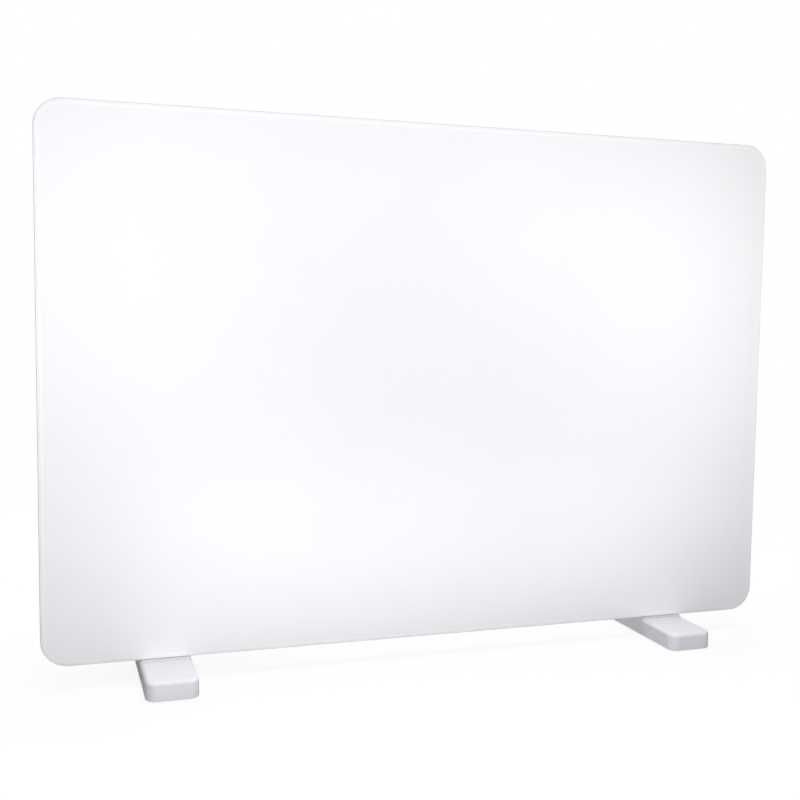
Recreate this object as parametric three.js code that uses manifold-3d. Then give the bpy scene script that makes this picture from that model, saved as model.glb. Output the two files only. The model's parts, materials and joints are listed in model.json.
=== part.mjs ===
// A freestanding glass panel heater: an enamelled glass front with its heating film, board and steel casing,
// a control box on the back, and two slab feet with steel brackets.
// Millimetres. X runs along the panel, Y from the glass towards the back, Z up from the floor.
import * as THREE from "three";
import { mergeVertices } from "three/addons/utils/BufferGeometryUtils.js";
import Module from "manifold-3d";

const wasm = await Module();
wasm.setup();

// Clearances and cutting allowances
const bondGap = 0.25; // glue line, and the gap between faces that seat on each other
const runGap = 0.3; // round a shank, shaft, wire or other piece in its hole
const cutOverrun = 1; // how far a cutting tool runs past the face that it opens
const weldOverlap = 0.5; // how far two joined forms of one piece reach into each other
const mergeDistance = 0.0001;

// Glass front
const glassWidth = 600;
const glassHeight = 405;
const glassThickness = 5;
const glassCornerRadius = 20;
const glassBevelWidth = 3;
const glassBevelDepth = 0.75;
const glassArris = 0.5;

// Edge seal between the glass and the casing's flange
const sealInset = 1;
const sealWidth = 10;
const sealThickness = 2;

// Steel casing
const casingInset = 14;
const flangeWidth = 12;
const flangeCornerRadius = 8;
const casingCornerRadius = 10;
const casingEdgeRadius = 3;
const casingDepth = 13.5;
const sheetThickness = 1;
const beadCount = 3;
const beadLength = 380;
const beadWidth = 14;
const beadHeight = 2;

// Heating film and its bus bars
const filmThickness = 1;
const filmMargin = 3;
const filmCornerRadius = 6;
const busBarWidth = 12;
const busBarThickness = 0.5;
const busBarInset = 4;

// Insulation board
const boardClearance = 2;
const nutPocketRadius = 7;
const nutPocketDepth = 8;
const leadChannelWidth = 8;
const leadChannelDepth = 6.5;
const leadHoleRadius = 4;

// Thermal cut-out on the film
const cutoutX = 60;
const cutoutCapRadius = 8;
const cutoutCapHeight = 2;
const cutoutBodyRadius = 7;
const cutoutTabLength = 12;
const cutoutTabWidth = 5;
const cutoutTabThickness = 0.8;
const cutoutPocketClearance = 2;

// Element leads
const elementLeadRadius = 1.3;
const elementLeadSpacing = 3.6;

// Feet
const footWidth = 38;
const footHeight = 14;
const footCornerRadius = 8;
const footTopRadius = 3;
const footBottomRadius = 0.8;
const footWall = 3;
const footSideInset = 70;
const footFrontReach = 46;
const glassFootGap = 2;
const footPlateThickness = 3;
const footPlateRecess = 2;
const footBossRadius = 5.5;

// Rubber pads under the feet
const padStand = 1;
const padLength = 22;
const padWidth = 22;
const padCornerRadius = 4;
const padEndInset = 8;

// Foot brackets
const bracketThickness = 2.5;
const bracketWidth = 30;
const bracketBendRadius = 5;
const bracketCornerRadius = 6;
const bracketReach = 42;
const bracketEndGap = 10.75;
const bracketTopMargin = 10;
const nutRise = 16;
const nutPitch = 24;

// Weld nuts, thumbscrews and foot screws
const nutHexRadius = 4.6;
const nutThickness = 4;
const clampShankRadius = 2.5;
const thumbHeadRadius = 8;
const thumbHeadHeight = 8;
const thumbHeadEdge = 1;
const thumbFluteCount = 12;
const thumbFluteDepth = 0.8;
const thumbTipLength = 3;
const footScrewHeadRadius = 4.5;
const footScrewHeadHeight = 2.8;
const footScrewEndInset = 8;
const footScrewPitch = 20;

// Control box
const boxWall = 2;
const boxCornerRadius = 6;
const boxEdgeRadius = 3;
const boxSideInset = 20;
const boxBracketGap = 19;
const baseThickness = 2;
const rimHeight = 5;
const rimThickness = 1.5;
const postRadius = 3.5;
const postInset = 8;
const coverScrewShankRadius = 1.5;
const coverScrewHeadRadius = 2.9;
const coverScrewHeadHeight = 1.6;
const coverScrewLength = 14;
const counterboreDepth = 0.8;
const ventCount = 8;
const ventWidth = 2.4;
const ventLength = 18;
const ventPitch = 7;
const lowerVentCount = 6;
const lowerVentOffset = 22;
const baseScrewShankRadius = 1.6;
const baseScrewHeadRadius = 3.3;
const baseScrewHeadHeight = 2;
const baseScrewTipLength = 5;
const baseScrewShares = [
  { x: -0.34, z: 0.2 },
  { x: 0.05, z: -0.17 },
];

// Power inlet, on the underside of the box
const inletBodyWidth = 27;
const inletBodyDepth = 19.6;
const inletBodyLength = 20;
const inletFlangeWidth = 31;
const inletFlangeDepth = 24;
const inletFlangeThickness = 2.5;
const inletFlangeRadius = 2;
const inletRecessWidth = 24.2;
const inletRecessDepth = 16.6;
const inletRecessLength = 17;
const inletRecessChamfer = 4.5;
const pinWidth = 2;
const pinDepth = 4;
const pinLength = 15;
const pinSpacing = 7;
const pinStagger = 2;
const pinTailLength = 8;
const pinTailWidth = 6.3;
const pinTailThickness = 0.8;

// Rocker switch, on the back of the box
const rockerInset = 18;
const rockerKnobSpacing = 39.5;
const rockerBodyWidth = 13;
const rockerBodyHeight = 19;
const rockerBodyDepth = 14;
const rockerBezelWidth = 15.4;
const rockerBezelHeight = 21.6;
const rockerBezelThickness = 2;
const rockerBezelRadius = 1.5;
const rockerWellWidth = 10.6;
const rockerWellHeight = 17.8;
const rockerKeyWidth = 10;
const rockerKeyHeight = 16;
const rockerKeyRise = 3.2;
const rockerKeyDish = 1.6;
const rockerKeyDrop = 2.2;
const rockerPivotHeight = 0.5;
const rockerPivotRadius = 1;
const rockerPivotReach = 0.8;
const rockerWellClearance = 2.6;
const rockerTilt = THREE.MathUtils.degToRad(10);
const rockerTabLength = 6;
const rockerTabWidth = 4.8;
const rockerTabThickness = 0.8;
const rockerTabSpacing = 5;

// Thermostat and its knob, on the back of the box
const controlRise = 4;
const thermostatWidth = 34;
const thermostatHeight = 30;
const thermostatThickness = 12;
const bushingRadius = 4.5;
const bushingStand = 3;
const shaftRadius = 3;
const shaftSink = 6;
const shaftStand = 13;
const thermostatNutRadius = 7;
const thermostatNutThickness = 2.2;
const thermostatTabSpacing = 9;
const thermostatTabLength = 6;
const knobRadius = 18;
const knobSkirtHeight = 2.5;
const knobGripRadius = 14.5;
const knobHeight = 14;
const knobFloat = 0.8;
const knobWall = 2;
const knobFaceThickness = 3;
const knobEdgeRadius = 1.2;
const knobFluteCount = 16;
const knobFluteDepth = 0.7;
const knobBossRadius = 5.5;
const knobPointerWidth = 2;
const knobPointerHeight = 0.8;
const knobStartAngle = THREE.MathUtils.degToRad(135);

// Terminal block, grommet, earth screw and box wiring
const grommetTopGap = 5.5;
const grommetHoleRadius = 6;
const grommetBoreRadius = 3.6;
const grommetFlangeRadius = 7.5;
const grommetFlangeThickness = 1.5;
const blockWidth = 32;
const blockHeight = 18;
const blockDepth = 14;
const blockSideInset = 8;
const blockThermostatGap = 5;
const blockGrommetGap = 4;
const blockWiringRoom = 11.25;
const blockPoleSpacing = 10;
const blockHoleRadius = 1.7;
const blockHoleDepth = 5;
const blockScrewRadius = 2;
const blockScrewDepth = 4;
const wireRadius = 1.1;
const wireEntry = 2;
const wireBend = 3;
const wireClimb = 4;
const wireBehindTabs = 8;
const wireBaseGap = 4.35;
const wireBelowBlock = 4;
const earthInletGap = 5;
const earthInset = 12;
const earthShankRadius = 2;
const earthHeadRadius = 3.6;
const earthHeadHeight = 2.4;
const earthRingThickness = 1;
const earthRingRadius = 4.5;
const earthOpeningRadius = 9.5;
const earthWireRun = 3;

// Smoothness
const largeArcSteps = 8;
const smallArcSteps = 4;
const filletSteps = 3;
const hexSides = 6;
const pilotSides = 8;
const screwSides = 12;
const roundSides = 20;
const wireSides = 6;
const bendSteps = 4;

const quarterTurn = Math.PI / 2;
const fullTurn = 2 * Math.PI;
const quarterTurnDegrees = 90;

// Layers of the panel, as distances behind the face of the glass
const glassBack = glassThickness;
const sealFront = glassBack + bondGap;
const flangeFront = sealFront + sealThickness + bondGap;
const casingRear = flangeFront + casingDepth;
const casingInnerRear = casingRear - sheetThickness;
const filmFront = glassBack + bondGap;
const filmBack = filmFront + filmThickness;
const busBarFront = filmBack + bondGap;
const boardFront = busBarFront + busBarThickness + bondGap;
const boardBack = casingInnerRear - bondGap;
const leadDepth = boardBack - leadChannelDepth / 2;

// Outlines of the panel's layers
const flangeOuterWidth = glassWidth - 2 * casingInset;
const flangeOuterHeight = glassHeight - 2 * casingInset;
const casingWidth = flangeOuterWidth - 2 * flangeWidth;
const casingHeight = flangeOuterHeight - 2 * flangeWidth;
const casingInnerWidth = casingWidth - 2 * sheetThickness;
const casingInnerHeight = casingHeight - 2 * sheetThickness;
const filmWidth = casingInnerWidth - 2 * filmMargin;
const filmHeight = casingInnerHeight - 2 * filmMargin;
const busBarX = filmWidth / 2 - busBarInset - busBarWidth / 2;

// Places of the feet, the panel and the box
const footLength = footFrontReach + casingRear + bondGap + bracketReach + bracketEndGap;
const footTop = padStand + footHeight;
const footX = glassWidth / 2 - footSideInset - footWidth / 2;
const glassFrontY = footFrontReach - footLength / 2;
const glassCentreZ = footTop + glassFootGap + glassHeight / 2;
const casingRearY = glassFrontY + casingRear;
const casingBottom = -casingHeight / 2;
const nutHeights = [casingBottom + nutRise, casingBottom + nutRise + nutPitch];
const bracketRise = nutRise + nutPitch + bracketTopMargin;

// The box is as wide, as tall and as deep as what stands in it
const boxWidth =
  rockerInset +
  rockerBodyWidth / 2 +
  rockerKnobSpacing +
  thermostatWidth / 2 +
  blockThermostatGap +
  blockWidth +
  blockSideInset +
  boxWall;
const boxHeight =
  inletBodyLength +
  bondGap +
  pinTailLength +
  blockWiringRoom +
  blockHeight +
  blockGrommetGap +
  2 * grommetFlangeRadius +
  grommetTopGap +
  boxWall;
const baseTop = bondGap + baseThickness;
const boxDepth =
  baseTop +
  wireBaseGap +
  wireRadius +
  wireBehindTabs +
  runGap +
  rockerTabLength +
  rockerBodyDepth;
const boxX = -casingWidth / 2 + boxSideInset + boxWidth / 2;
const boxBottom = casingBottom + bracketRise + boxBracketGap;
const boxZ = boxBottom + boxHeight / 2;

// Places inside the box, from its centre on the casing
const coverFront = baseTop + bondGap;
const coverInner = boxDepth - boxWall;
const baseScrewPlaces = baseScrewShares.map(({ x, z }) => ({ x: x * boxWidth, z: z * boxHeight }));
const postX = boxWidth / 2 - postInset;
const postZ = boxHeight / 2 - postInset;
const blockX = boxWidth / 2 - boxWall - blockSideInset - blockWidth / 2;
const grommetX = blockX;
const grommetZ = boxHeight / 2 - boxWall - grommetTopGap - grommetFlangeRadius;
const blockTop = grommetZ - grommetFlangeRadius - blockGrommetGap;
const blockBottom = blockTop - blockHeight;
const blockFront = baseTop + bondGap;
const blockHoleY = blockFront + blockDepth / 2;
const inletX = blockX;
const inletY = (baseTop + boxDepth) / 2;
const inletSeat = -boxHeight / 2 - bondGap;
const inletMouth = inletSeat - inletFlangeThickness;
const inletTop = -boxHeight / 2 + inletBodyLength;
const inletFloor = inletMouth + inletRecessLength;
const pinTailTop = inletTop + bondGap + pinTailLength;
const rockerX = -boxWidth / 2 + rockerInset + rockerBodyWidth / 2;
const rockerPivotY = boxDepth + rockerPivotHeight;
const rockerBack = boxDepth - rockerBodyDepth;
const thermostatFront = coverInner - bondGap - thermostatThickness;
const earthWireX = inletX - inletBodyWidth / 2 - earthInletGap;
const earthX = earthWireX - earthWireRun - earthRingRadius;
const earthZ = -boxHeight / 2 + boxWall + earthInset;
const knobX = rockerX + rockerKnobSpacing;

// Finishes
const finishes = {
  enamelledGlass: { color: 0xf7f8fa, roughness: 0.06, metalness: 0 },
  powderCoat: { color: 0xeeeeec, roughness: 0.5, metalness: 0 },
  footPlastic: { color: 0xe4e3e6, roughness: 0.55, metalness: 0 },
  boxPlastic: { color: 0xe9e9e7, roughness: 0.45, metalness: 0 },
  darkPlastic: { color: 0x26272a, roughness: 0.4, metalness: 0 },
  ceramic: { color: 0xded9cc, roughness: 0.6, metalness: 0 },
  rubber: { color: 0x3a3a3c, roughness: 0.85, metalness: 0 },
  silicone: { color: 0xd8d8d4, roughness: 0.7, metalness: 0 },
  film: { color: 0x2c2a28, roughness: 0.6, metalness: 0 },
  mineralBoard: { color: 0xcfc6b0, roughness: 0.95, metalness: 0 },
  zincSteel: { color: 0xb9bcc0, roughness: 0.35, metalness: 1 },
  brass: { color: 0xc8a555, roughness: 0.3, metalness: 1 },
  copper: { color: 0xb87344, roughness: 0.3, metalness: 1 },
  liveWire: { color: 0x6b3a1e, roughness: 0.5, metalness: 0 },
  neutralWire: { color: 0x2f55a4, roughness: 0.5, metalness: 0 },
  earthWire: { color: 0x5f9a3a, roughness: 0.5, metalness: 0 },
  elementWire: { color: 0xe8e4da, roughness: 0.55, metalness: 0 },
};

const axisCount = 3; // numbers to a corner point, and corners to a triangle

// A closed geometry as a solid that can be cut and joined.
function solidFrom(geometry) {
  const bare = geometry.index ? geometry.toNonIndexed() : geometry.clone();
  const positions = new THREE.BufferGeometry().setAttribute("position", bare.getAttribute("position"));
  const merged = mergeVertices(positions, mergeDistance);
  const corners = merged.index.array;
  const kept = [];
  for (let i = 0; i < corners.length; i += axisCount) {
    const [a, b, c] = [corners[i], corners[i + 1], corners[i + 2]];
    if (a !== b && b !== c && c !== a) kept.push(a, b, c);
  }
  return new wasm.Manifold(
    new wasm.Mesh({
      numProp: axisCount,
      vertProperties: merged.attributes.position.array,
      triVerts: new Uint32Array(kept),
    }),
  );
}

// A solid as flat-shaded geometry.
function geometryFrom(solid) {
  const mesh = solid.getMesh();
  const indexed = new THREE.BufferGeometry()
    .setAttribute("position", new THREE.BufferAttribute(mesh.vertProperties, axisCount))
    .setIndex(new THREE.BufferAttribute(mesh.triVerts, 1));
  const geometry = indexed.toNonIndexed();
  geometry.computeVertexNormals();
  return geometry;
}

// A named piece of the heater.
function piece(name, solid, finish) {
  const mesh = new THREE.Mesh(geometryFrom(solid), new THREE.MeshStandardMaterial(finishes[finish]));
  mesh.name = name;
  return mesh;
}

function joined(solids) {
  return solids.reduce((whole, next) => whole.add(next));
}

function cutBy(solid, tools) {
  return tools.reduce((rest, tool) => rest.subtract(tool), solid);
}

function moved(solid, x, y, z) {
  return solid.translate([x, y, z]);
}

// A rectangle with round corners, centred on its origin.
function roundedRectangle(width, height, radius) {
  const x = width / 2;
  const y = height / 2;
  const r = Math.min(radius, x, y);
  const outline = new THREE.Shape();
  outline.moveTo(r - x, -y);
  outline.absarc(x - r, r - y, r, -quarterTurn, 0, false);
  outline.absarc(x - r, y - r, r, 0, quarterTurn, false);
  outline.absarc(r - x, y - r, r, quarterTurn, 2 * quarterTurn, false);
  outline.absarc(r - x, r - y, r, -2 * quarterTurn, -quarterTurn, false);
  return outline;
}

// An outline in the XZ plane, as thick as given, with its front face at y = front.
function uprightPlate(outline, front, thickness, arcSteps = smallArcSteps) {
  const settings = { depth: thickness, bevelEnabled: false, curveSegments: arcSteps / 2 };
  const geometry = new THREE.ExtrudeGeometry(outline, settings);
  geometry.rotateX(quarterTurn);
  geometry.translate(0, front + thickness, 0);
  return solidFrom(geometry);
}

// An outline in the XY plane, as thick as given, with its lower face at z = bottom.
function flatPlate(outline, bottom, thickness, arcSteps = smallArcSteps) {
  const settings = { depth: thickness, bevelEnabled: false, curveSegments: arcSteps / 2 };
  const geometry = new THREE.ExtrudeGeometry(outline, settings);
  geometry.translate(0, 0, bottom);
  return solidFrom(geometry);
}

// A box given by its lowest corner and its size.
function block(low, size) {
  const geometry = new THREE.BoxGeometry(...size);
  geometry.translate(low[0] + size[0] / 2, low[1] + size[1] / 2, low[2] + size[2] / 2);
  return solidFrom(geometry);
}

// A cylinder or prism along Y.
function rodAlongY(radius, front, back, sides = screwSides) {
  const geometry = new THREE.CylinderGeometry(radius, radius, back - front, sides);
  geometry.translate(0, (front + back) / 2, 0);
  return solidFrom(geometry);
}

// A cylinder or prism along Z.
function rodAlongZ(radius, bottom, top, sides = screwSides) {
  const geometry = new THREE.CylinderGeometry(radius, radius, top - bottom, sides);
  geometry.rotateX(quarterTurn);
  geometry.translate(0, 0, (bottom + top) / 2);
  return solidFrom(geometry);
}

// A cylinder along X.
function rodAlongX(radius, left, right, sides = screwSides) {
  const geometry = new THREE.CylinderGeometry(radius, radius, right - left, sides);
  geometry.rotateZ(quarterTurn);
  geometry.translate((left + right) / 2, 0, 0);
  return solidFrom(geometry);
}

// Rings with the same number of points, joined in order and closed at both ends.
function loft(rings) {
  const count = rings[0].length;
  const points = rings.flat();
  const centre = (ring) =>
    ring.reduce((sum, point) => sum.add(point), new THREE.Vector3()).divideScalar(ring.length);
  const first = points.length;
  points.push(centre(rings[0]), centre(rings[rings.length - 1]));
  const faces = [];
  for (let i = 0; i < count; i += 1) {
    const next = (i + 1) % count;
    for (let ring = 0; ring < rings.length - 1; ring += 1) {
      const low = ring * count;
      const high = low + count;
      faces.push(low + i, low + next, high + next, low + i, high + next, high + i);
    }
    const last = (rings.length - 1) * count;
    faces.push(first, next, i, first + 1, last + i, last + next);
  }
  const geometry = new THREE.BufferGeometry().setFromPoints(points);
  geometry.setIndex(faces);
  return solidFrom(geometry);
}

// One ring of a slab: a rounded rectangle drawn in by inset, at height z.
function slabRing(width, height, radius, inset, z, arcSteps) {
  const ring = [];
  const corners = [
    [1, -1, -quarterTurn],
    [1, 1, 0],
    [-1, 1, quarterTurn],
    [-1, -1, 2 * quarterTurn],
  ];
  for (const [sideX, sideY, start] of corners) {
    for (let step = 0; step <= arcSteps; step += 1) {
      const angle = start + (quarterTurn * step) / arcSteps;
      const reach = radius - inset;
      const x = sideX * (width / 2 - radius) + reach * Math.cos(angle);
      const y = sideY * (height / 2 - radius) + reach * Math.sin(angle);
      ring.push(new THREE.Vector3(x, y, z));
    }
  }
  return ring;
}

// A slab from a list of { z, inset } sections, lowest first.
function slab(width, height, radius, sections, arcSteps) {
  return loft(sections.map(({ z, inset }) => slabRing(width, height, radius, inset, z, arcSteps)));
}

// The sections that round a slab's upper edge off.
function roundedEdge(top, radius) {
  const sections = [];
  for (let step = 0; step <= filletSteps; step += 1) {
    const angle = (quarterTurn * step) / filletSteps;
    sections.push({ z: top - radius + radius * Math.sin(angle), inset: radius - radius * Math.cos(angle) });
  }
  return sections;
}

// Turns a solid built upwards along Z so that its top faces the back.
function facingBack(solid) {
  return solid.rotate([-quarterTurnDegrees, 0, 0]);
}

// A screw or other turned piece along Z from a list of [radius, z] points on one side of its axis.
function turned(profile, sides = screwSides) {
  const points = profile.map(([radius, z]) => new THREE.Vector2(radius, z));
  const geometry = new THREE.LatheGeometry(points, sides);
  geometry.rotateX(quarterTurn);
  return solidFrom(geometry);
}

// A pan-head screw whose head seats at z = 0 and whose shank runs down.
function panScrew(headRadius, headHeight, shankRadius, length) {
  const crownRadius = headRadius - headHeight / 2;
  return turned([
    [0, -length],
    [shankRadius / 2, -length],
    [shankRadius, shankRadius - length],
    [shankRadius, 0],
    [headRadius, 0],
    [headRadius, headHeight / 2],
    [crownRadius, headHeight],
    [0, headHeight],
  ]);
}

// A route through given points in order, with a section at each of them.
class Route extends THREE.Curve {
  constructor(points) {
    super();
    this.points = points;
  }

  getPoint(share, target = new THREE.Vector3()) {
    const place = share * (this.points.length - 1);
    const index = Math.min(Math.floor(place), this.points.length - 2);
    return target.lerpVectors(this.points[index], this.points[index + 1], place - index);
  }

  getUtoTmapping(share) {
    return share;
  }
}

// A round wire that runs straight between its corners and turns each of them with an even bend.
function wire(corners, radius) {
  const points = corners.map((corner) => new THREE.Vector3(...corner));
  const route = new THREE.CurvePath();
  let start = points[0];
  for (let i = 1; i < points.length - 1; i += 1) {
    const [before, corner, after] = points.slice(i - 1, i + 2);
    const room = Math.min(corner.distanceTo(before), corner.distanceTo(after)) / 2;
    const reach = Math.min(wireBend, room);
    const bendStart = corner.clone().lerp(before, reach / corner.distanceTo(before));
    const bendEnd = corner.clone().lerp(after, reach / corner.distanceTo(after));
    if (start.distanceTo(bendStart) > mergeDistance) route.add(new THREE.LineCurve3(start, bendStart));
    route.add(new THREE.QuadraticBezierCurve3(bendStart, corner, bendEnd));
    start = bendEnd;
  }
  route.add(new THREE.LineCurve3(start, points[points.length - 1]));
  const stops = route.getPoints(bendSteps);
  const section = new THREE.Shape();
  for (let side = 0; side < wireSides; side += 1) {
    const angle = (fullTurn * side) / wireSides;
    const [x, y] = [radius * Math.cos(angle), radius * Math.sin(angle)];
    if (side === 0) section.moveTo(x, y);
    else section.lineTo(x, y);
  }
  const settings = { steps: stops.length - 1, extrudePath: new Route(stops), bevelEnabled: false };
  return solidFrom(new THREE.ExtrudeGeometry(section, settings));
}

// The glass: a shallow bevel round its face, and a fine arris on each sharp edge.
function glassPanel() {
  const sections = [
    { z: -glassThickness, inset: glassArris },
    { z: glassArris - glassThickness, inset: 0 },
    { z: -glassBevelDepth - glassArris, inset: 0 },
    { z: -glassBevelDepth, inset: glassArris },
    { z: 0, inset: glassBevelWidth },
  ];
  const lying = slab(glassWidth, glassHeight, glassCornerRadius, sections, largeArcSteps);
  return lying.rotate([quarterTurnDegrees, 0, 0]);
}

// The silicone frame that bonds the flange to the glass.
function edgeSeal() {
  const width = flangeOuterWidth - 2 * sealInset;
  const height = flangeOuterHeight - 2 * sealInset;
  const outer = roundedRectangle(width, height, flangeCornerRadius);
  const inner = roundedRectangle(width - 2 * sealWidth, height - 2 * sealWidth, flangeCornerRadius);
  const opening = uprightPlate(inner, sealFront - cutOverrun, sealThickness + 2 * cutOverrun);
  return uprightPlate(outer, sealFront, sealThickness).subtract(opening);
}

// The heating film, and one of the copper bars that feed it.
function heatingFilm() {
  return uprightPlate(roundedRectangle(filmWidth, filmHeight, filmCornerRadius), filmFront, filmThickness);
}

function busBar(side) {
  const height = filmHeight - 2 * filmCornerRadius;
  return block(
    [side * busBarX - busBarWidth / 2, busBarFront, -height / 2],
    [busBarWidth, busBarThickness, height],
  );
}

// Where the two element leads pass from the panel into the box, in the panel's frame.
const grommetPlace = { x: boxX + grommetX, z: boxZ + grommetZ };

// The board behind the film, cut away for the nuts, the leads, the cut-out and the screws of the box.
function insulationBoard() {
  const width = casingInnerWidth - 2 * boardClearance;
  const height = casingInnerHeight - 2 * boardClearance;
  const board = uprightPlate(
    roundedRectangle(width, height, casingCornerRadius),
    boardFront,
    boardBack - boardFront,
  );
  const tools = [];
  const behind = boardBack + cutOverrun;
  for (const side of [-1, 1]) {
    for (const z of nutHeights) {
      tools.push(moved(rodAlongY(nutPocketRadius, boardBack - nutPocketDepth, behind), side * footX, 0, z));
    }
    const hole = rodAlongY(leadHoleRadius, boardFront - cutOverrun, behind);
    tools.push(moved(hole, side * busBarX, 0, grommetPlace.z));
  }
  tools.push(
    block(
      [-busBarX, boardBack - leadChannelDepth, grommetPlace.z - leadChannelWidth / 2],
      [2 * busBarX, leadChannelDepth + cutOverrun, leadChannelWidth],
    ),
  );
  const pocketRadius = cutoutCapRadius + cutoutPocketClearance;
  const pocket = rodAlongY(pocketRadius, boardFront - cutOverrun, behind, roundSides);
  tools.push(moved(pocket, cutoutX, 0, grommetPlace.z));
  const grommetPocket = rodAlongY(grommetFlangeRadius + runGap, boardBack - leadChannelDepth, behind);
  tools.push(moved(grommetPocket, grommetPlace.x, 0, grommetPlace.z));
  const tipRadius = baseScrewHeadRadius;
  const tipDepth = baseScrewTipLength + cutOverrun;
  for (const place of [...baseScrewPlaces, { x: earthX, z: earthZ }]) {
    tools.push(moved(rodAlongY(tipRadius, boardBack - tipDepth, behind), boxX + place.x, 0, boxZ + place.z));
  }
  return cutBy(board, tools);
}

// The steel casing: a shallow tray with a flange, stiffening beads, and holes for all that bolts to it.
function rearCasing() {
  const flange = uprightPlate(
    roundedRectangle(flangeOuterWidth, flangeOuterHeight, flangeCornerRadius),
    flangeFront,
    sheetThickness,
  );
  const outer = slab(
    casingWidth,
    casingHeight,
    casingCornerRadius,
    [{ z: flangeFront, inset: 0 }, ...roundedEdge(casingRear, casingEdgeRadius)],
    smallArcSteps,
  );
  const inner = slab(
    casingInnerWidth,
    casingInnerHeight,
    casingCornerRadius - sheetThickness,
    [
      { z: flangeFront - cutOverrun, inset: 0 },
      ...roundedEdge(casingInnerRear, casingEdgeRadius - sheetThickness),
    ],
    smallArcSteps,
  );
  const boxTop = boxZ + boxHeight / 2;
  const beads = [];
  const hollows = [];
  for (let i = 0; i < beadCount; i += 1) {
    const z = boxTop + ((i + 1) * (casingHeight / 2 - boxTop)) / (beadCount + 1);
    const bead = roundedRectangle(beadLength, beadWidth, beadWidth / 2);
    const hollowWidth = beadWidth - 2 * sheetThickness;
    const hollow = roundedRectangle(beadLength - 2 * sheetThickness, hollowWidth, hollowWidth / 2);
    beads.push(moved(uprightPlate(bead, casingInnerRear, sheetThickness + beadHeight), 0, 0, z));
    const hollowFront = casingInnerRear - cutOverrun;
    hollows.push(moved(uprightPlate(hollow, hollowFront, beadHeight + cutOverrun), 0, 0, z));
  }
  const holes = [];
  const [front, back] = [casingInnerRear - cutOverrun, casingRear + cutOverrun];
  for (const side of [-1, 1]) {
    for (const z of nutHeights) {
      holes.push(moved(rodAlongY(clampShankRadius + runGap, front, back), side * footX, 0, z));
    }
  }
  for (const place of baseScrewPlaces) {
    const hole = rodAlongY(baseScrewShankRadius + runGap, front, back);
    holes.push(moved(hole, boxX + place.x, 0, boxZ + place.z));
  }
  holes.push(moved(rodAlongY(earthShankRadius + runGap, front, back), boxX + earthX, 0, boxZ + earthZ));
  holes.push(moved(rodAlongY(grommetHoleRadius, front, back, roundSides), grommetPlace.x, 0, grommetPlace.z));
  const skin = joined([flange, facingBack(outer), ...beads]);
  return cutBy(skin, [facingBack(inner), ...hollows, ...holes]);
}

// A hexagon nut welded inside the casing for a foot's thumbscrew.
function weldNut() {
  const front = boardBack - nutThickness;
  const nut = rodAlongY(nutHexRadius, front, boardBack, hexSides);
  return nut.subtract(rodAlongY(clampShankRadius + runGap, front - cutOverrun, casingRear));
}

// The bimetal cut-out: a cap on the film, a round body and a tab each way along the channel.
function thermalCutout() {
  const capFront = filmBack + bondGap;
  const bodyFront = capFront + cutoutCapHeight;
  const tabFront = leadDepth - cutoutTabThickness / 2;
  return joined([
    rodAlongY(cutoutCapRadius, capFront, bodyFront, roundSides),
    rodAlongY(cutoutBodyRadius, bodyFront - weldOverlap, tabFront + cutoutTabThickness, roundSides),
    block(
      [-cutoutTabLength, tabFront, -cutoutTabWidth / 2],
      [2 * cutoutTabLength, cutoutTabThickness, cutoutTabWidth],
    ),
  ]);
}

// Corners of a lead from a bus bar up into the channel.
function busBarEnd(side) {
  const x = side * busBarX;
  return [
    [x, busBarFront + busBarThickness + runGap, grommetPlace.z],
    [x, leadDepth, grommetPlace.z],
  ];
}

// Corners of a lead out of the channel, through the grommet, and down into a pole of the terminal block.
function blockEnd(side) {
  const x = grommetPlace.x + (side * elementLeadSpacing) / 2;
  const poleX = boxX + blockX + side * blockPoleSpacing;
  const poleY = casingRear + blockHoleY;
  return [
    [x, leadDepth, grommetPlace.z],
    [x, poleY, grommetPlace.z],
    [poleX, poleY, grommetPlace.z],
    [poleX, poleY, boxZ + blockTop - wireEntry],
  ];
}

function leftElementLead() {
  return wire([...busBarEnd(-1), ...blockEnd(-1)], elementLeadRadius);
}

function rightElementLead() {
  const tabEnd = cutoutX + cutoutTabLength + runGap;
  return wire([...busBarEnd(1), [tabEnd, leadDepth, grommetPlace.z]], elementLeadRadius);
}

function cutoutLead() {
  const tabEnd = cutoutX - cutoutTabLength - runGap;
  return wire([[tabEnd, leadDepth, grommetPlace.z], ...blockEnd(1)], elementLeadRadius);
}

// The rubber grommet that lines the hole in the casing and the base.
function grommet() {
  const barrelFront = casingInnerRear - bondGap - grommetFlangeThickness;
  const barrelBack = casingRear + baseTop + bondGap + grommetFlangeThickness;
  const barrelRadius = grommetHoleRadius - runGap;
  const whole = joined([
    rodAlongY(barrelRadius, barrelFront, barrelBack, roundSides),
    rodAlongY(grommetFlangeRadius, barrelFront, barrelFront + grommetFlangeThickness, roundSides),
    rodAlongY(grommetFlangeRadius, barrelBack - grommetFlangeThickness, barrelBack, roundSides),
  ]);
  return whole.subtract(
    rodAlongY(grommetBoreRadius, barrelFront - cutOverrun, barrelBack + cutOverrun, roundSides),
  );
}

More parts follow.
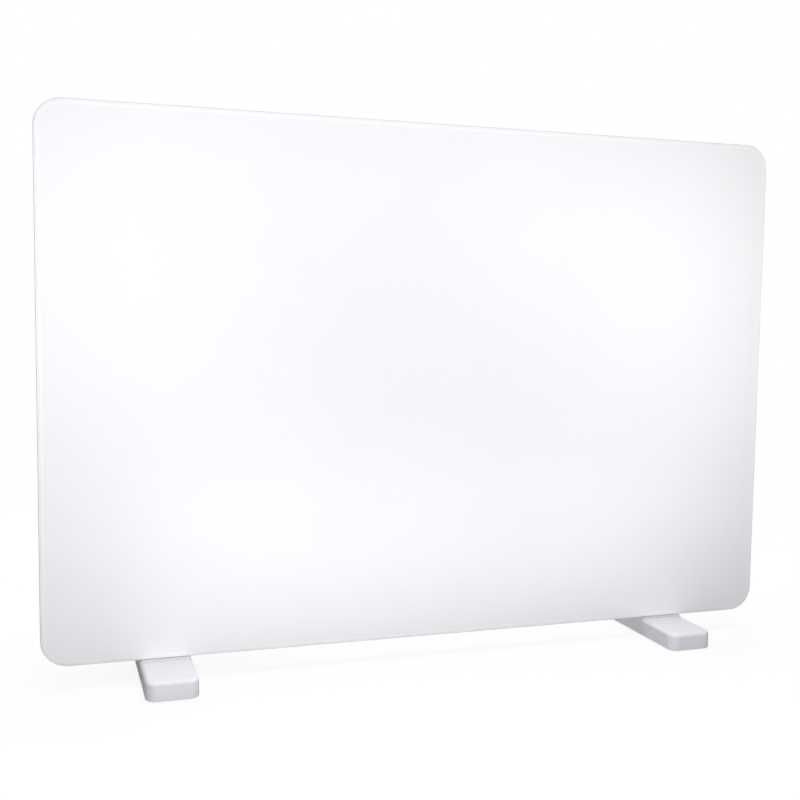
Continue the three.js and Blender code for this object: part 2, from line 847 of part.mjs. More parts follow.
// The moulded base of the box: a plate with a rim, four posts, and its openings.
function controlBoxBase() {
  const plate = uprightPlate(roundedRectangle(boxWidth, boxHeight, boxCornerRadius), bondGap, baseThickness);
  const rimWidth = boxWidth - 2 * (boxWall + runGap);
  const rimSpan = boxHeight - 2 * (boxWall + runGap);
  const rimRadius = boxCornerRadius - boxWall;
  const rimOuter = uprightPlate(
    roundedRectangle(rimWidth, rimSpan, rimRadius),
    baseTop - weldOverlap,
    rimHeight,
  );
  const rimInner = uprightPlate(
    roundedRectangle(rimWidth - 2 * rimThickness, rimSpan - 2 * rimThickness, rimRadius),
    baseTop - cutOverrun,
    rimHeight + 2 * cutOverrun,
  );
  const posts = [];
  const pilots = [];
  for (const [sideX, sideZ] of [[-1, -1], [1, -1], [1, 1], [-1, 1]]) {
    const post = rodAlongY(postRadius, baseTop - weldOverlap, coverInner - bondGap);
    const pilotFront = coverInner - coverScrewLength;
    const pilotRadius = coverScrewShankRadius + runGap;
    const pilot = rodAlongY(pilotRadius, pilotFront, coverInner + cutOverrun, pilotSides);
    posts.push(moved(post, sideX * postX, 0, sideZ * postZ));
    pilots.push(moved(pilot, sideX * postX, 0, sideZ * postZ));
  }
  const rim = rimOuter.subtract(rimInner);
  const holes = baseScrewPlaces.map((place) =>
    moved(rodAlongY(baseScrewShankRadius + runGap, 0, baseTop + cutOverrun), place.x, 0, place.z),
  );
  holes.push(moved(rodAlongY(earthOpeningRadius, 0, baseTop + cutOverrun), earthX, 0, earthZ));
  holes.push(moved(rodAlongY(grommetHoleRadius, 0, baseTop + cutOverrun, roundSides), grommetX, 0, grommetZ));
  return cutBy(joined([plate, rim, ...posts]), [...pilots, ...holes]);
}

// A row of vent slots through the cover's upper or lower wall.
function vents(count, middleX, side) {
  const slots = [];
  const centreY = (coverFront + boxDepth) / 2;
  for (let i = 0; i < count; i += 1) {
    const x = middleX + (i - (count - 1) / 2) * ventPitch;
    const outer = side * (boxHeight / 2 + cutOverrun);
    const inner = side * (boxHeight / 2 - boxWall - cutOverrun);
    slots.push(
      block(
        [x - ventWidth / 2, centreY - ventLength / 2, Math.min(outer, inner)],
        [ventWidth, ventLength, Math.abs(outer - inner)],
      ),
    );
  }
  return slots;
}

// The moulded cover of the box, with its openings for the switch, the thermostat, the inlet and the screws.
function controlBoxCover() {
  const outer = slab(
    boxWidth,
    boxHeight,
    boxCornerRadius,
    [{ z: coverFront, inset: 0 }, ...roundedEdge(boxDepth, boxEdgeRadius)],
    smallArcSteps,
  );
  const innerOutline = roundedRectangle(
    boxWidth - 2 * boxWall,
    boxHeight - 2 * boxWall,
    boxCornerRadius - boxWall,
  );
  const inner = uprightPlate(innerOutline, coverFront - cutOverrun, coverInner - coverFront + cutOverrun);
  const [front, back] = [coverInner - cutOverrun, boxDepth + cutOverrun];
  const holes = [];
  for (const [sideX, sideZ] of [[-1, -1], [1, -1], [1, 1], [-1, 1]]) {
    const hole = rodAlongY(coverScrewShankRadius + runGap, front, back);
    const counterbore = rodAlongY(coverScrewHeadRadius + runGap, boxDepth - counterboreDepth, back);
    holes.push(moved(hole, sideX * postX, 0, sideZ * postZ));
    holes.push(moved(counterbore, sideX * postX, 0, sideZ * postZ));
  }
  const rockerWidth = rockerBodyWidth + 2 * runGap;
  const rockerHeight = rockerBodyHeight + 2 * runGap;
  holes.push(
    block(
      [rockerX - rockerWidth / 2, front, controlRise - rockerHeight / 2],
      [rockerWidth, back - front, rockerHeight],
    ),
  );
  holes.push(moved(rodAlongY(bushingRadius + runGap, front, back, roundSides), knobX, 0, controlRise));
  const inletWidth = inletBodyWidth + 2 * runGap;
  const inletDepth = inletBodyDepth + 2 * runGap;
  holes.push(
    block(
      [inletX - inletWidth / 2, inletY - inletDepth / 2, -boxHeight / 2 - cutOverrun],
      [inletWidth, inletDepth, boxWall + 2 * cutOverrun],
    ),
  );
  holes.push(...vents(ventCount, 0, 1), ...vents(lowerVentCount, -lowerVentOffset, -1));
  return cutBy(facingBack(outer).subtract(inner), holes);
}

// A cover screw, seen from behind, with its head in the counterbore.
function coverScrew() {
  const seat = boxDepth - counterboreDepth + bondGap;
  const length = coverScrewLength - cutOverrun;
  const screw = panScrew(coverScrewHeadRadius, coverScrewHeadHeight, coverScrewShankRadius, length);
  return moved(facingBack(screw), 0, seat, 0);
}

function baseScrew() {
  const length = baseTop + bondGap + sheetThickness + baseScrewTipLength;
  const screw = panScrew(baseScrewHeadRadius, baseScrewHeadHeight, baseScrewShankRadius, length);
  return moved(facingBack(screw), 0, baseTop + bondGap, 0);
}

// The recess of the inlet: a rectangle with two corners cut off.
function inletRecess() {
  const x = inletRecessWidth / 2;
  const y = inletRecessDepth / 2;
  const cut = inletRecessChamfer;
  const outline = new THREE.Shape();
  outline.moveTo(-x, -y);
  outline.lineTo(x, -y);
  outline.lineTo(x, y - cut);
  outline.lineTo(x - cut, y);
  outline.lineTo(cut - x, y);
  outline.lineTo(-x, y - cut);
  return flatPlate(outline, inletMouth - cutOverrun, inletRecessLength + cutOverrun);
}

const pinPlaces = {
  live_pin: { x: -pinSpacing, y: -pinStagger },
  neutral_pin: { x: pinSpacing, y: -pinStagger },
  earth_pin: { x: 0, y: pinStagger },
};

function powerInlet() {
  const flangeOutline = roundedRectangle(inletFlangeWidth, inletFlangeDepth, inletFlangeRadius);
  const flange = flatPlate(flangeOutline, inletMouth, inletFlangeThickness);
  const bodyOutline = roundedRectangle(inletBodyWidth, inletBodyDepth, inletFlangeRadius / 2);
  const bodyBottom = inletSeat - weldOverlap;
  const body = flatPlate(bodyOutline, bodyBottom, inletTop - bodyBottom);
  const slots = Object.values(pinPlaces).map(({ x, y }) =>
    block(
      [x - pinWidth / 2 - runGap, y - pinDepth / 2 - runGap, inletFloor - cutOverrun],
      [pinWidth + 2 * runGap, pinDepth + 2 * runGap, inletTop - inletFloor + 2 * cutOverrun],
    ),
  );
  return cutBy(flange.add(body), [inletRecess(), ...slots]);
}

// A pin of the inlet, with the tail that a wire pushes on to.
function inletPin({ x, y }) {
  const bottom = inletFloor - pinLength;
  const tailBottom = inletTop + bondGap;
  return joined([
    block(
      [x - pinWidth / 2, y - pinDepth / 2, bottom],
      [pinWidth, pinDepth, tailBottom + weldOverlap - bottom],
    ),
    block(
      [x - pinTailThickness / 2, y - pinTailWidth / 2, tailBottom],
      [pinTailThickness, pinTailWidth, pinTailLength],
    ),
  ]);
}

// The switch's body and bezel, with a well for the key and a hole each side for its pivots.
function rockerBody() {
  const bezel = uprightPlate(
    roundedRectangle(rockerBezelWidth, rockerBezelHeight, rockerBezelRadius),
    boxDepth + bondGap,
    rockerBezelThickness,
  );
  const bodyBack = boxDepth + bondGap + weldOverlap;
  const body = block(
    [-rockerBodyWidth / 2, rockerBack, -rockerBodyHeight / 2],
    [rockerBodyWidth, bodyBack - rockerBack, rockerBodyHeight],
  );
  const wellFront = rockerPivotY - rockerKeyDrop - rockerWellClearance;
  const well = block(
    [-rockerWellWidth / 2, wellFront, -rockerWellHeight / 2],
    [rockerWellWidth, boxDepth + bondGap + rockerBezelThickness + cutOverrun - wellFront, rockerWellHeight],
  );
  const pivotReach = rockerKeyWidth / 2 + rockerPivotReach + runGap;
  const pivotHole = moved(
    rodAlongX(rockerPivotRadius + runGap, -pivotReach, pivotReach, screwSides),
    0,
    rockerPivotY,
    0,
  );
  const tabs = [-1, 1].map((side) =>
    block(
      [-rockerTabWidth / 2, rockerBack - rockerTabLength, side * rockerTabSpacing - rockerTabThickness / 2],
      [rockerTabWidth, rockerTabLength + weldOverlap, rockerTabThickness],
    ),
  );
  return cutBy(joined([bezel, body, ...tabs]), [well, pivotHole]);
}

// The key, level, with its pivots on the origin: two pads that slope to the middle.
function rockerKey() {
  const half = rockerKeyHeight / 2;
  const profile = new THREE.Shape();
  profile.moveTo(-half, -rockerKeyDrop);
  profile.lineTo(half, -rockerKeyDrop);
  profile.lineTo(half, rockerKeyRise);
  profile.lineTo(0, rockerKeyRise - rockerKeyDish);
  profile.lineTo(-half, rockerKeyRise);
  const geometry = new THREE.ExtrudeGeometry(profile, { depth: rockerKeyWidth, bevelEnabled: false });
  geometry.translate(0, 0, -rockerKeyWidth / 2);
  geometry.rotateY(-quarterTurn);
  const key = solidFrom(geometry);
  const reach = rockerKeyWidth / 2 + rockerPivotReach;
  return key.add(rodAlongX(rockerPivotRadius, -reach, reach, screwSides));
}

// The thermostat's body, its threaded bushing and two tabs.
function thermostatBody() {
  const body = block(
    [-thermostatWidth / 2, thermostatFront, -thermostatHeight / 2],
    [thermostatWidth, thermostatThickness, thermostatHeight],
  );
  const bodyBack = thermostatFront + thermostatThickness;
  const bushing = rodAlongY(bushingRadius, bodyBack - weldOverlap, boxDepth + bushingStand, roundSides);
  const tabs = [-1, 1].map((side) =>
    block(
      [
        side * thermostatTabSpacing - rockerTabWidth / 2,
        thermostatFront - thermostatTabLength,
        -rockerTabThickness / 2,
      ],
      [rockerTabWidth, thermostatTabLength + weldOverlap, rockerTabThickness],
    ),
  );
  const bore = rodAlongY(
    shaftRadius + runGap,
    bodyBack - shaftSink - runGap,
    boxDepth + bushingStand + cutOverrun,
    roundSides,
  );
  return cutBy(joined([body, bushing, ...tabs]), [bore]);
}

function thermostatShaft() {
  const front = thermostatFront + thermostatThickness - shaftSink;
  return rodAlongY(shaftRadius, front, boxDepth + shaftStand, roundSides);
}

function thermostatNut() {
  const front = boxDepth + bondGap;
  const back = front + thermostatNutThickness;
  const nut = rodAlongY(thermostatNutRadius, front, back, hexSides);
  return nut.subtract(rodAlongY(bushingRadius + runGap, front - cutOverrun, back + cutOverrun, roundSides));
}

// A round ring with shallow flutes, for grips.
function flutedRing(radius, fluteCount, fluteDepth, z) {
  const stepsPerFlute = 3;
  const count = fluteCount * stepsPerFlute;
  const ring = [];
  for (let i = 0; i < count; i += 1) {
    const angle = (fullTurn * i) / count;
    const reach = radius - (i % stepsPerFlute === 0 ? fluteDepth : 0);
    ring.push(new THREE.Vector3(reach * Math.cos(angle), reach * Math.sin(angle), z));
  }
  return ring;
}

// The thermostat knob: a skirt, a fluted grip with a pointer, a hollow over the nut and a boss on the shaft.
function thermostatKnob() {
  const bottom = boxDepth + knobFloat;
  const top = bottom + knobHeight;
  const skirt = turned(
    [
      [0, bottom],
      [knobRadius, bottom],
      [knobRadius, bottom + knobSkirtHeight / 2],
      [knobRadius - knobSkirtHeight / 2, bottom + knobSkirtHeight],
      [0, bottom + knobSkirtHeight],
    ],
    2 * roundSides,
  );
  const grip = loft([
    flutedRing(knobGripRadius, knobFluteCount, knobFluteDepth, bottom + knobSkirtHeight - weldOverlap),
    flutedRing(knobGripRadius, knobFluteCount, knobFluteDepth, top - knobEdgeRadius),
    flutedRing(knobGripRadius - knobEdgeRadius, knobFluteCount, knobFluteDepth, top),
  ]);
  const pointerLength = knobGripRadius - knobEdgeRadius - knobFluteDepth;
  const pointer = block(
    [-knobPointerWidth / 2, -pointerLength, top - weldOverlap],
    [knobPointerWidth, pointerLength, knobPointerHeight + weldOverlap],
  );
  const hollowRadius = knobGripRadius - knobFluteDepth - knobWall;
  const hollow = rodAlongZ(hollowRadius, bottom - cutOverrun, top - knobFaceThickness, roundSides);
  const bossBottom = boxDepth + bushingStand + knobFloat;
  const boss = rodAlongZ(knobBossRadius, bossBottom, top - knobFaceThickness + weldOverlap, roundSides);
  const boreTop = boxDepth + shaftStand + runGap;
  const bore = rodAlongZ(shaftRadius + runGap, bossBottom - cutOverrun, boreTop, roundSides);
  return joined([skirt, grip, pointer]).subtract(hollow).add(boss).subtract(bore);
}

// The terminal block: three poles, open at both ends, with a screw over each end.
function terminalBlock() {
  const body = block([-blockWidth / 2, blockFront, blockBottom], [blockWidth, blockDepth, blockHeight]);
  const tools = [];
  for (const pole of [-1, 0, 1]) {
    const x = pole * blockPoleSpacing;
    const upperEnd = blockTop - blockHoleDepth;
    const lowerEnd = blockBottom + blockHoleDepth;
    const upper = rodAlongZ(blockHoleRadius, upperEnd, blockTop + cutOverrun, pilotSides);
    const lower = rodAlongZ(blockHoleRadius, blockBottom - cutOverrun, lowerEnd, pilotSides);
    tools.push(moved(upper, x, blockHoleY, 0), moved(lower, x, blockHoleY, 0));
    for (const z of [upperEnd, lowerEnd]) {
      const back = blockFront + blockDepth;
      const well = rodAlongY(blockScrewRadius, back - blockScrewDepth, back + cutOverrun, pilotSides);
      tools.push(moved(well, x, 0, z));
    }
  }
  return cutBy(body, tools);
}

function earthScrew() {
  const seat = earthRingThickness + 2 * bondGap;
  const length = seat + sheetThickness + baseScrewTipLength;
  return moved(facingBack(panScrew(earthHeadRadius, earthHeadHeight, earthShankRadius, length)), 0, seat, 0);
}

// Box wiring: each wire starts and ends just clear of the tips that it joins.
const rockerTip = rockerBack - rockerTabLength - runGap;
const thermostatTip = thermostatFront - thermostatTabLength - runGap;
const wiringY = rockerTip - wireBehindTabs;

function pinTip(name) {
  const { x, y } = pinPlaces[name];
  return [inletX + x, inletY + y, pinTailTop + runGap];
}

function liveLead() {
  const [x, y, z] = pinTip("live_pin");
  const turnZ = z + wireClimb;
  const endZ = controlRise - rockerTabSpacing;
  return wire(
    [
      [x, y, z],
      [x, y, turnZ],
      [x - wireClimb, wiringY, turnZ],
      [rockerX, wiringY, turnZ],
      [rockerX, wiringY, endZ],
      [rockerX, rockerTip, endZ],
    ],
    wireRadius,
  );
}

function switchLead() {
  const startZ = controlRise + rockerTabSpacing;
  const endX = knobX - thermostatTabSpacing;
  return wire(
    [
      [rockerX, rockerTip, startZ],
      [rockerX, wiringY, startZ],
      [endX, wiringY, startZ],
      [endX, wiringY, controlRise],
      [endX, thermostatTip, controlRise],
    ],
    wireRadius,
  );
}

function thermostatLead() {
  const startX = knobX + thermostatTabSpacing;
  const endX = blockX - blockPoleSpacing;
  const turnZ = blockBottom - wireBelowBlock;
  return wire(
    [
      [startX, thermostatTip, controlRise],
      [startX, blockHoleY, controlRise],
      [startX, blockHoleY, turnZ],
      [endX, blockHoleY, turnZ],
      [endX, blockHoleY, blockBottom + wireEntry],
    ],
    wireRadius,
  );
}

function neutralLead() {
  const [x, y, z] = pinTip("neutral_pin");
  const endX = blockX + blockPoleSpacing;
  const turnZ = z + wireClimb;
  return wire(
    [
      [x, y, z],
      [x, y, turnZ],
      [endX, blockHoleY, turnZ],
      [endX, blockHoleY, blockBottom + wireEntry],
    ],
    wireRadius,
  );
}

// The earth wire, with the ring that the earth screw holds against the casing.
function earthLead() {
  const [x, y, z] = pinTip("earth_pin");
  const ring = rodAlongY(earthRingRadius, bondGap, bondGap + earthRingThickness);
  const hole = rodAlongY(earthShankRadius + runGap, 0, bondGap + earthRingThickness + cutOverrun);
  const attach = bondGap + wireRadius;
  const lead = wire(
    [
      [x, y, z],
      [x, y, z + wireClimb],
      [earthWireX, y, z + wireClimb],
      [earthWireX, y, earthZ],
      [earthWireX, attach, earthZ],
      [earthX + earthRingRadius - weldOverlap, attach, earthZ],
    ],
    wireRadius,
  );
  return lead.add(moved(ring, earthX, 0, earthZ)).subtract(moved(hole, earthX, 0, earthZ));
}

// A foot's moulded shell: a slab with soft edges, hollow below, with two bosses for the bracket's screws.
function footShell() {
  const outer = slab(
    footWidth,
    footLength,
    footCornerRadius,
    [
      { z: padStand, inset: footBottomRadius },
      { z: padStand + footBottomRadius, inset: 0 },
      ...roundedEdge(footTop, footTopRadius),
    ],
    largeArcSteps / 2 + 1,
  );
  const cavityTop = footTop - footWall;
  const cavity = roundedRectangle(
    footWidth - 2 * footWall,
    footLength - 2 * footWall,
    footCornerRadius - footWall,
  );
  const hollow = flatPlate(cavity, padStand - cutOverrun, cavityTop - padStand + cutOverrun);
  const bosses = footScrewPlaces.map((y) =>
    moved(rodAlongZ(footBossRadius, footPlateTop + bondGap, cavityTop + weldOverlap), 0, y, 0),
  );
  const holes = footScrewPlaces.map((y) =>
    moved(rodAlongZ(clampShankRadius + runGap, padStand, footTop + cutOverrun), 0, y, 0),
  );
  return cutBy(joined([outer.subtract(hollow), ...bosses]), holes);
}

// Heights inside a foot, and where the bracket and its screws stand, from the foot's centre.
const footPlateBottom = padStand + footPlateRecess;
const footPlateTop = footPlateBottom + footPlateThickness;
const bracketFront = casingRearY + bondGap;
const bracketBottom = footTop + bondGap;
const lastFootScrew = bracketFront + bracketReach - footScrewEndInset;
const footScrewPlaces = [lastFootScrew - footScrewPitch, lastFootScrew];
const nutHeightsFromFloor = nutHeights.map((z) => glassCentreZ + z);
const bracketTop = glassCentreZ + casingBottom + bracketRise;

function footPlate() {
  const clearance = footWall + runGap;
  const outline = roundedRectangle(
    footWidth - 2 * clearance,
    footLength - 2 * clearance,
    footCornerRadius - clearance,
  );
  const holes = footScrewPlaces.map((y) =>
    moved(
      rodAlongZ(clampShankRadius + runGap, footPlateBottom - cutOverrun, footPlateTop + cutOverrun),
      0,
      y,
      0,
    ),
  );
  return cutBy(flatPlate(outline, footPlateBottom, footPlateThickness), holes);
}

function footPad(side) {
  const outline = roundedRectangle(padWidth, padLength, padCornerRadius);
  const y = side * (footLength / 2 - padEndInset - padLength / 2);
  return moved(flatPlate(outline, 0, footPlateBottom - bondGap), 0, y, 0);
}

// The steel angle that stands on the foot and carries the casing.
function footBracket() {
  const bendY = bracketFront + bracketBendRadius;
  const bendZ = bracketBottom + bracketBendRadius;
  const footPartOutline = roundedRectangle(bracketWidth, 2 * bracketReach, bracketCornerRadius);
  const footPart = moved(flatPlate(footPartOutline, bracketBottom, bracketThickness), 0, bracketFront, 0);
  const standOutline = roundedRectangle(bracketWidth, 2 * (bracketTop - bracketBottom), bracketCornerRadius);
  const stand = moved(uprightPlate(standOutline, bracketFront, bracketThickness), 0, 0, bracketBottom);
  const room = 2 * footLength + bracketTop;
  const behindBend = block([-room / 2, bendY, bracketBottom - room / 2], [room, room, room]);
  const aboveBend = block([-room / 2, bracketFront - room / 2, bendZ], [room, room, room]);
  const bend = rodAlongX(bracketBendRadius, -bracketWidth / 2, bracketWidth / 2, 2 * roundSides);
  const bendHollow = rodAlongX(bracketBendRadius - bracketThickness, -room / 2, room / 2, roundSides);
  const bendCorner = block(
    [-room / 2, -bracketBendRadius - cutOverrun, -bracketBendRadius - cutOverrun],
    [room, bracketBendRadius + cutOverrun + weldOverlap, bracketBendRadius + cutOverrun + weldOverlap],
  );
  const corner = moved(bend.subtract(bendHollow).intersect(bendCorner), 0, bendY, bendZ);
  const holes = [
    ...footScrewPlaces.map((y) =>
      moved(rodAlongZ(clampShankRadius + runGap, footTop, bendZ), 0, y, 0),
    ),
    ...nutHeightsFromFloor.map((z) =>
      moved(rodAlongY(clampShankRadius + runGap, bracketFront - cutOverrun, bendY), 0, 0, z),
    ),
  ];
  return cutBy(joined([footPart.intersect(behindBend), stand.intersect(aboveBend), corner]), holes);
}

// A thumbscrew through the bracket and the casing into its weld nut.
function thumbscrew() {
  const seat = bracketFront + bracketThickness + bondGap;
  const nutFront = glassFrontY + boardBack - nutThickness;
  const length = seat - nutFront + thumbTipLength;
  const shank = turned([
    [0, -length],
    [clampShankRadius / 2, -length],
    [clampShankRadius, clampShankRadius - length],
    [clampShankRadius, weldOverlap],
    [0, weldOverlap],
  ]);
  const head = loft([
    flutedRing(thumbHeadRadius - thumbHeadEdge, thumbFluteCount, thumbFluteDepth, 0),
    flutedRing(thumbHeadRadius, thumbFluteCount, thumbFluteDepth, thumbHeadEdge),
    flutedRing(thumbHeadRadius, thumbFluteCount, thumbFluteDepth, thumbHeadHeight - thumbHeadEdge),
    flutedRing(thumbHeadRadius - thumbHeadEdge, thumbFluteCount, thumbFluteDepth, thumbHeadHeight),
  ]);
  return moved(facingBack(shank.add(head)), 0, seat, 0);
}

// A screw down through the bracket and the shell into the foot's steel plate.
function footScrew() {
  const seat = bracketBottom + bracketThickness + bondGap;
  const screw = panScrew(footScrewHeadRadius, footScrewHeadHeight, clampShankRadius, seat - footPlateBottom);
  return moved(screw, 0, 0, seat);
}

// One foot, with everything that is fastened to it.
function foot(side) {
  const group = new THREE.Group();
  const hand = side < 0 ? "left" : "right";
  group.position.x = side * footX;
  group.add(piece(`${hand}_foot_shell`, footShell(), "footPlastic"));
  group.add(piece(`${hand}_foot_plate`, footPlate(), "zincSteel"));
  group.add(piece(`${hand}_foot_front_pad`, footPad(-1), "rubber"));
  group.add(piece(`${hand}_foot_rear_pad`, footPad(1), "rubber"));
  group.add(piece(`${hand}_foot_bracket`, footBracket(), "powderCoat"));
  ["lower", "upper"].forEach((height, i) => {
    const screw = piece(`${hand}_${height}_thumbscrew`, thumbscrew(), "darkPlastic");
    screw.position.z = nutHeightsFromFloor[i];
    group.add(screw);
  });
  ["front", "rear"].forEach((end, i) => {
    const screw = piece(`${hand}_foot_${end}_screw`, footScrew(), "zincSteel");
    screw.position.y = footScrewPlaces[i];
    group.add(screw);
  });
  return group;
}

// The control box and all that it holds.
function controlBox() {
  const group = new THREE.Group();
  group.position.set(boxX, casingRear, boxZ);
  group.add(piece("control_box_base", controlBoxBase(), "boxPlastic"));
  group.add(piece("control_box_cover", controlBoxCover(), "boxPlastic"));
  [[-1, -1], [1, -1], [1, 1], [-1, 1]].forEach(([sideX, sideZ], i) => {
    const screw = piece(`cover_screw_${i + 1}`, coverScrew(), "zincSteel");
    screw.position.set(sideX * postX, 0, sideZ * postZ);
    group.add(screw);
  });
  baseScrewPlaces.forEach((place, i) => {
    const screw = piece(`base_screw_${i + 1}`, baseScrew(), "zincSteel");
    screw.position.set(place.x, 0, place.z);
    group.add(screw);
  });
  const inlet = new THREE.Group();
  inlet.position.set(inletX, inletY, 0);
  inlet.add(piece("power_inlet", powerInlet(), "darkPlastic"));
  for (const [name, place] of Object.entries(pinPlaces)) inlet.add(piece(name, inletPin(place), "brass"));
  group.add(inlet);
  const rocker = piece("rocker_switch_body", rockerBody(), "darkPlastic");
  rocker.position.set(rockerX, 0, controlRise);
  group.add(rocker);
  const key = piece("rocker_key", rockerKey(), "darkPlastic");
  key.position.set(rockerX, rockerPivotY, controlRise);
  key.rotation.x = -rockerTilt;
  group.add(key);
  const thermostat = new THREE.Group();
  thermostat.position.set(knobX, 0, controlRise);
  thermostat.add(piece("thermostat_body", thermostatBody(), "darkPlastic"));
  thermostat.add(piece("thermostat_shaft", thermostatShaft(), "zincSteel"));
  thermostat.add(piece("thermostat_nut", thermostatNut(), "brass"));
  const knob = piece("thermostat_knob", facingBack(thermostatKnob()), "darkPlastic");
  knob.rotation.y = knobStartAngle;
  thermostat.add(knob);
  group.add(thermostat);
  const terminals = piece("terminal_block", terminalBlock(), "ceramic");
  terminals.position.x = blockX;
  group.add(terminals);
  const earth = piece("earth_screw", earthScrew(), "brass");
  earth.position.set(earthX, 0, earthZ);
  group.add(earth);
  group.add(piece("live_lead", liveLead(), "liveWire"));
  group.add(piece("switch_lead", switchLead(), "liveWire"));
  group.add(piece("thermostat_lead", thermostatLead(), "liveWire"));
  group.add(piece("neutral_lead", neutralLead(), "neutralWire"));
  group.add(piece("earth_lead", earthLead(), "earthWire"));
  return group;
}

// The glass, everything bonded behind it, and the control box.
function panel() {
  const group = new THREE.Group();
  group.position.set(0, glassFrontY, glassCentreZ);
  group.add(piece("glass_panel", glassPanel(), "enamelledGlass"));
  group.add(piece("edge_seal", edgeSeal(), "silicone"));
  group.add(piece("heating_film", heatingFilm(), "film"));
  group.add(piece("left_bus_bar", busBar(-1), "copper"));
  group.add(piece("right_bus_bar", busBar(1), "copper"));
  group.add(piece("insulation_board", insulationBoard(), "mineralBoard"));
  group.add(piece("rear_casing", rearCasing(), "powderCoat"));
  for (const side of [-1, 1]) {
    ["lower", "upper"].forEach((height, i) => {
      const nut = piece(`${side < 0 ? "left" : "right"}_${height}_weld_nut`, weldNut(), "zincSteel");
      nut.position.set(side * footX, 0, nutHeights[i]);
      group.add(nut);
    });
  }
  const cutout = piece("thermal_cutout", thermalCutout(), "darkPlastic");
  cutout.position.set(cutoutX, 0, grommetPlace.z);
  group.add(cutout);
  group.add(piece("left_element_lead", leftElementLead(), "elementWire"));
  group.add(piece("right_element_lead", rightElementLead(), "elementWire"));
  group.add(piece("cutout_lead", cutoutLead(), "elementWire"));
  const lining = piece("casing_grommet", grommet(), "rubber");
  lining.position.set(grommetPlace.x, 0, grommetPlace.z);
  group.add(lining);
  group.add(controlBox());
  return group;
}

const heater = new THREE.Group();
heater.add(panel(), foot(-1), foot(1));

export default heater;
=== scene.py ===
import json
import math

import bmesh
import bpy
from mathutils import Matrix, Vector


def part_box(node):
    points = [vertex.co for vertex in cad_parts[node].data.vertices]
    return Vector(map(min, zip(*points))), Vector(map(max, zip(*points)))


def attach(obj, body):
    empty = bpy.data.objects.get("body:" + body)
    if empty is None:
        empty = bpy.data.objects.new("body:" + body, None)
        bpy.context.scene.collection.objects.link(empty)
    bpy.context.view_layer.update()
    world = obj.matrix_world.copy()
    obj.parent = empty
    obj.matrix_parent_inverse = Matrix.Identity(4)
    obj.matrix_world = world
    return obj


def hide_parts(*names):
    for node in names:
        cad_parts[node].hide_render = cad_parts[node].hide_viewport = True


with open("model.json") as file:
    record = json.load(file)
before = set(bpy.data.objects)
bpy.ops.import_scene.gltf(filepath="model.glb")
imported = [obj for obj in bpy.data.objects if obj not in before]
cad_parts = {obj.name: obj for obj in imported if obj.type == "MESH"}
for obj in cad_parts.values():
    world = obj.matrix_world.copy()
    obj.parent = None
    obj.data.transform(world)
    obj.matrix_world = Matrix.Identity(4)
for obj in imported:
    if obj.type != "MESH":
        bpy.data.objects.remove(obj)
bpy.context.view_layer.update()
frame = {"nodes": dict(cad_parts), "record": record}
print("frame loaded:", len(frame["nodes"]), "nodes")

mm = 0.001
scene = bpy.context.scene
scene.view_settings.view_transform = "Standard"


# Camera, at the photograph's angle

camera = {
    "place": (-0.2951, -0.8189, 0.2774),
    "yaw": 18.198,
    "pitch": 4.710,
    "roll": 0.724,
    "lens": 48.94,
    "clipStart": 10 * mm,
}


def addCamera():
    bpy.ops.object.camera_add()
    eye = bpy.context.object
    eye.name = "camera"
    eye.data.lens = camera["lens"]
    eye.data.clip_start = camera["clipStart"]
    aim = Matrix.Rotation(math.radians(-camera["yaw"]), 4, "Z")
    aim = aim @ Matrix.Rotation(math.radians(90 - camera["pitch"]), 4, "X")
    aim = aim @ Matrix.Rotation(math.radians(camera["roll"]), 4, "Z")
    eye.matrix_world = Matrix.Translation(camera["place"]) @ aim
    scene.camera = eye


addCamera()
print("camera placed")


# Modelling tools. The pieces' dictionaries give a rounded edge as its width and its steps.

xAxis, yAxis, zAxis = 0, 1, 2
turnTo = [(0, math.pi / 2, 0), (-math.pi / 2, 0, 0), (0, 0, 0)]  # from along Z to along each axis
closeBy = 0.02 * mm  # two levels nearer than this count as one
mergeBy = 0.001 * mm  # two corners nearer than this become one
alongShare = 0.999  # an edge runs along an axis when this share of its length does
overrun = 1 * mm  # how far a cutting form runs past the face that it opens
overlap = 0.5 * mm  # how far joined forms of one piece reach into each other
runGap = 0.3 * mm  # round what moves in an opening or stands in it
seatGap = 0.25 * mm  # between faces that rest on each other
rodSides = 32
fluteSteps = 8  # sides that a turned piece has for each of its flutes
softAngle = 50
smoothAngle = 32

coverScrewNodes = [f"cover_screw_{i}" for i in range(1, 5)]
bothSides = ["left", "right"]
footScrewNodes = [f"{side}_foot_{end}_screw" for side in bothSides for end in ["front", "rear"]]
thumbscrewNodes = [f"{side}_{end}_thumbscrew" for side in bothSides for end in ["lower", "upper"]]


def deselect():
    bpy.ops.object.select_all(action="DESELECT")


def only(piece):
    deselect()
    piece.select_set(True)
    bpy.context.view_layer.objects.active = piece


def settle(piece):  # its place, turn and size go into its mesh
    only(piece)
    bpy.ops.object.transform_apply(location=True, rotation=True, scale=True)
    return piece


def moveTo(piece, place, turn=(0, 0, 0)):
    piece.rotation_euler = turn
    piece.location = place
    return settle(piece)


def addBlock(name, low, high):
    low, high = Vector(low), Vector(high)
    deselect()
    bpy.ops.mesh.primitive_cube_add(size=1, location=(low + high) / 2)
    piece = bpy.context.object
    piece.name = name
    piece.scale = high - low
    return settle(piece)


def addBar(name, at, size, axis, start, end):  # a block along one axis, centred on a place across it
    low, high = Vector(at), Vector(at)
    across = [way for way in range(3) if way != axis]
    for way, length in zip(across, size):
        low[way] -= length / 2
        high[way] += length / 2
    low[axis], high[axis] = start, end
    return addBlock(name, low, high)


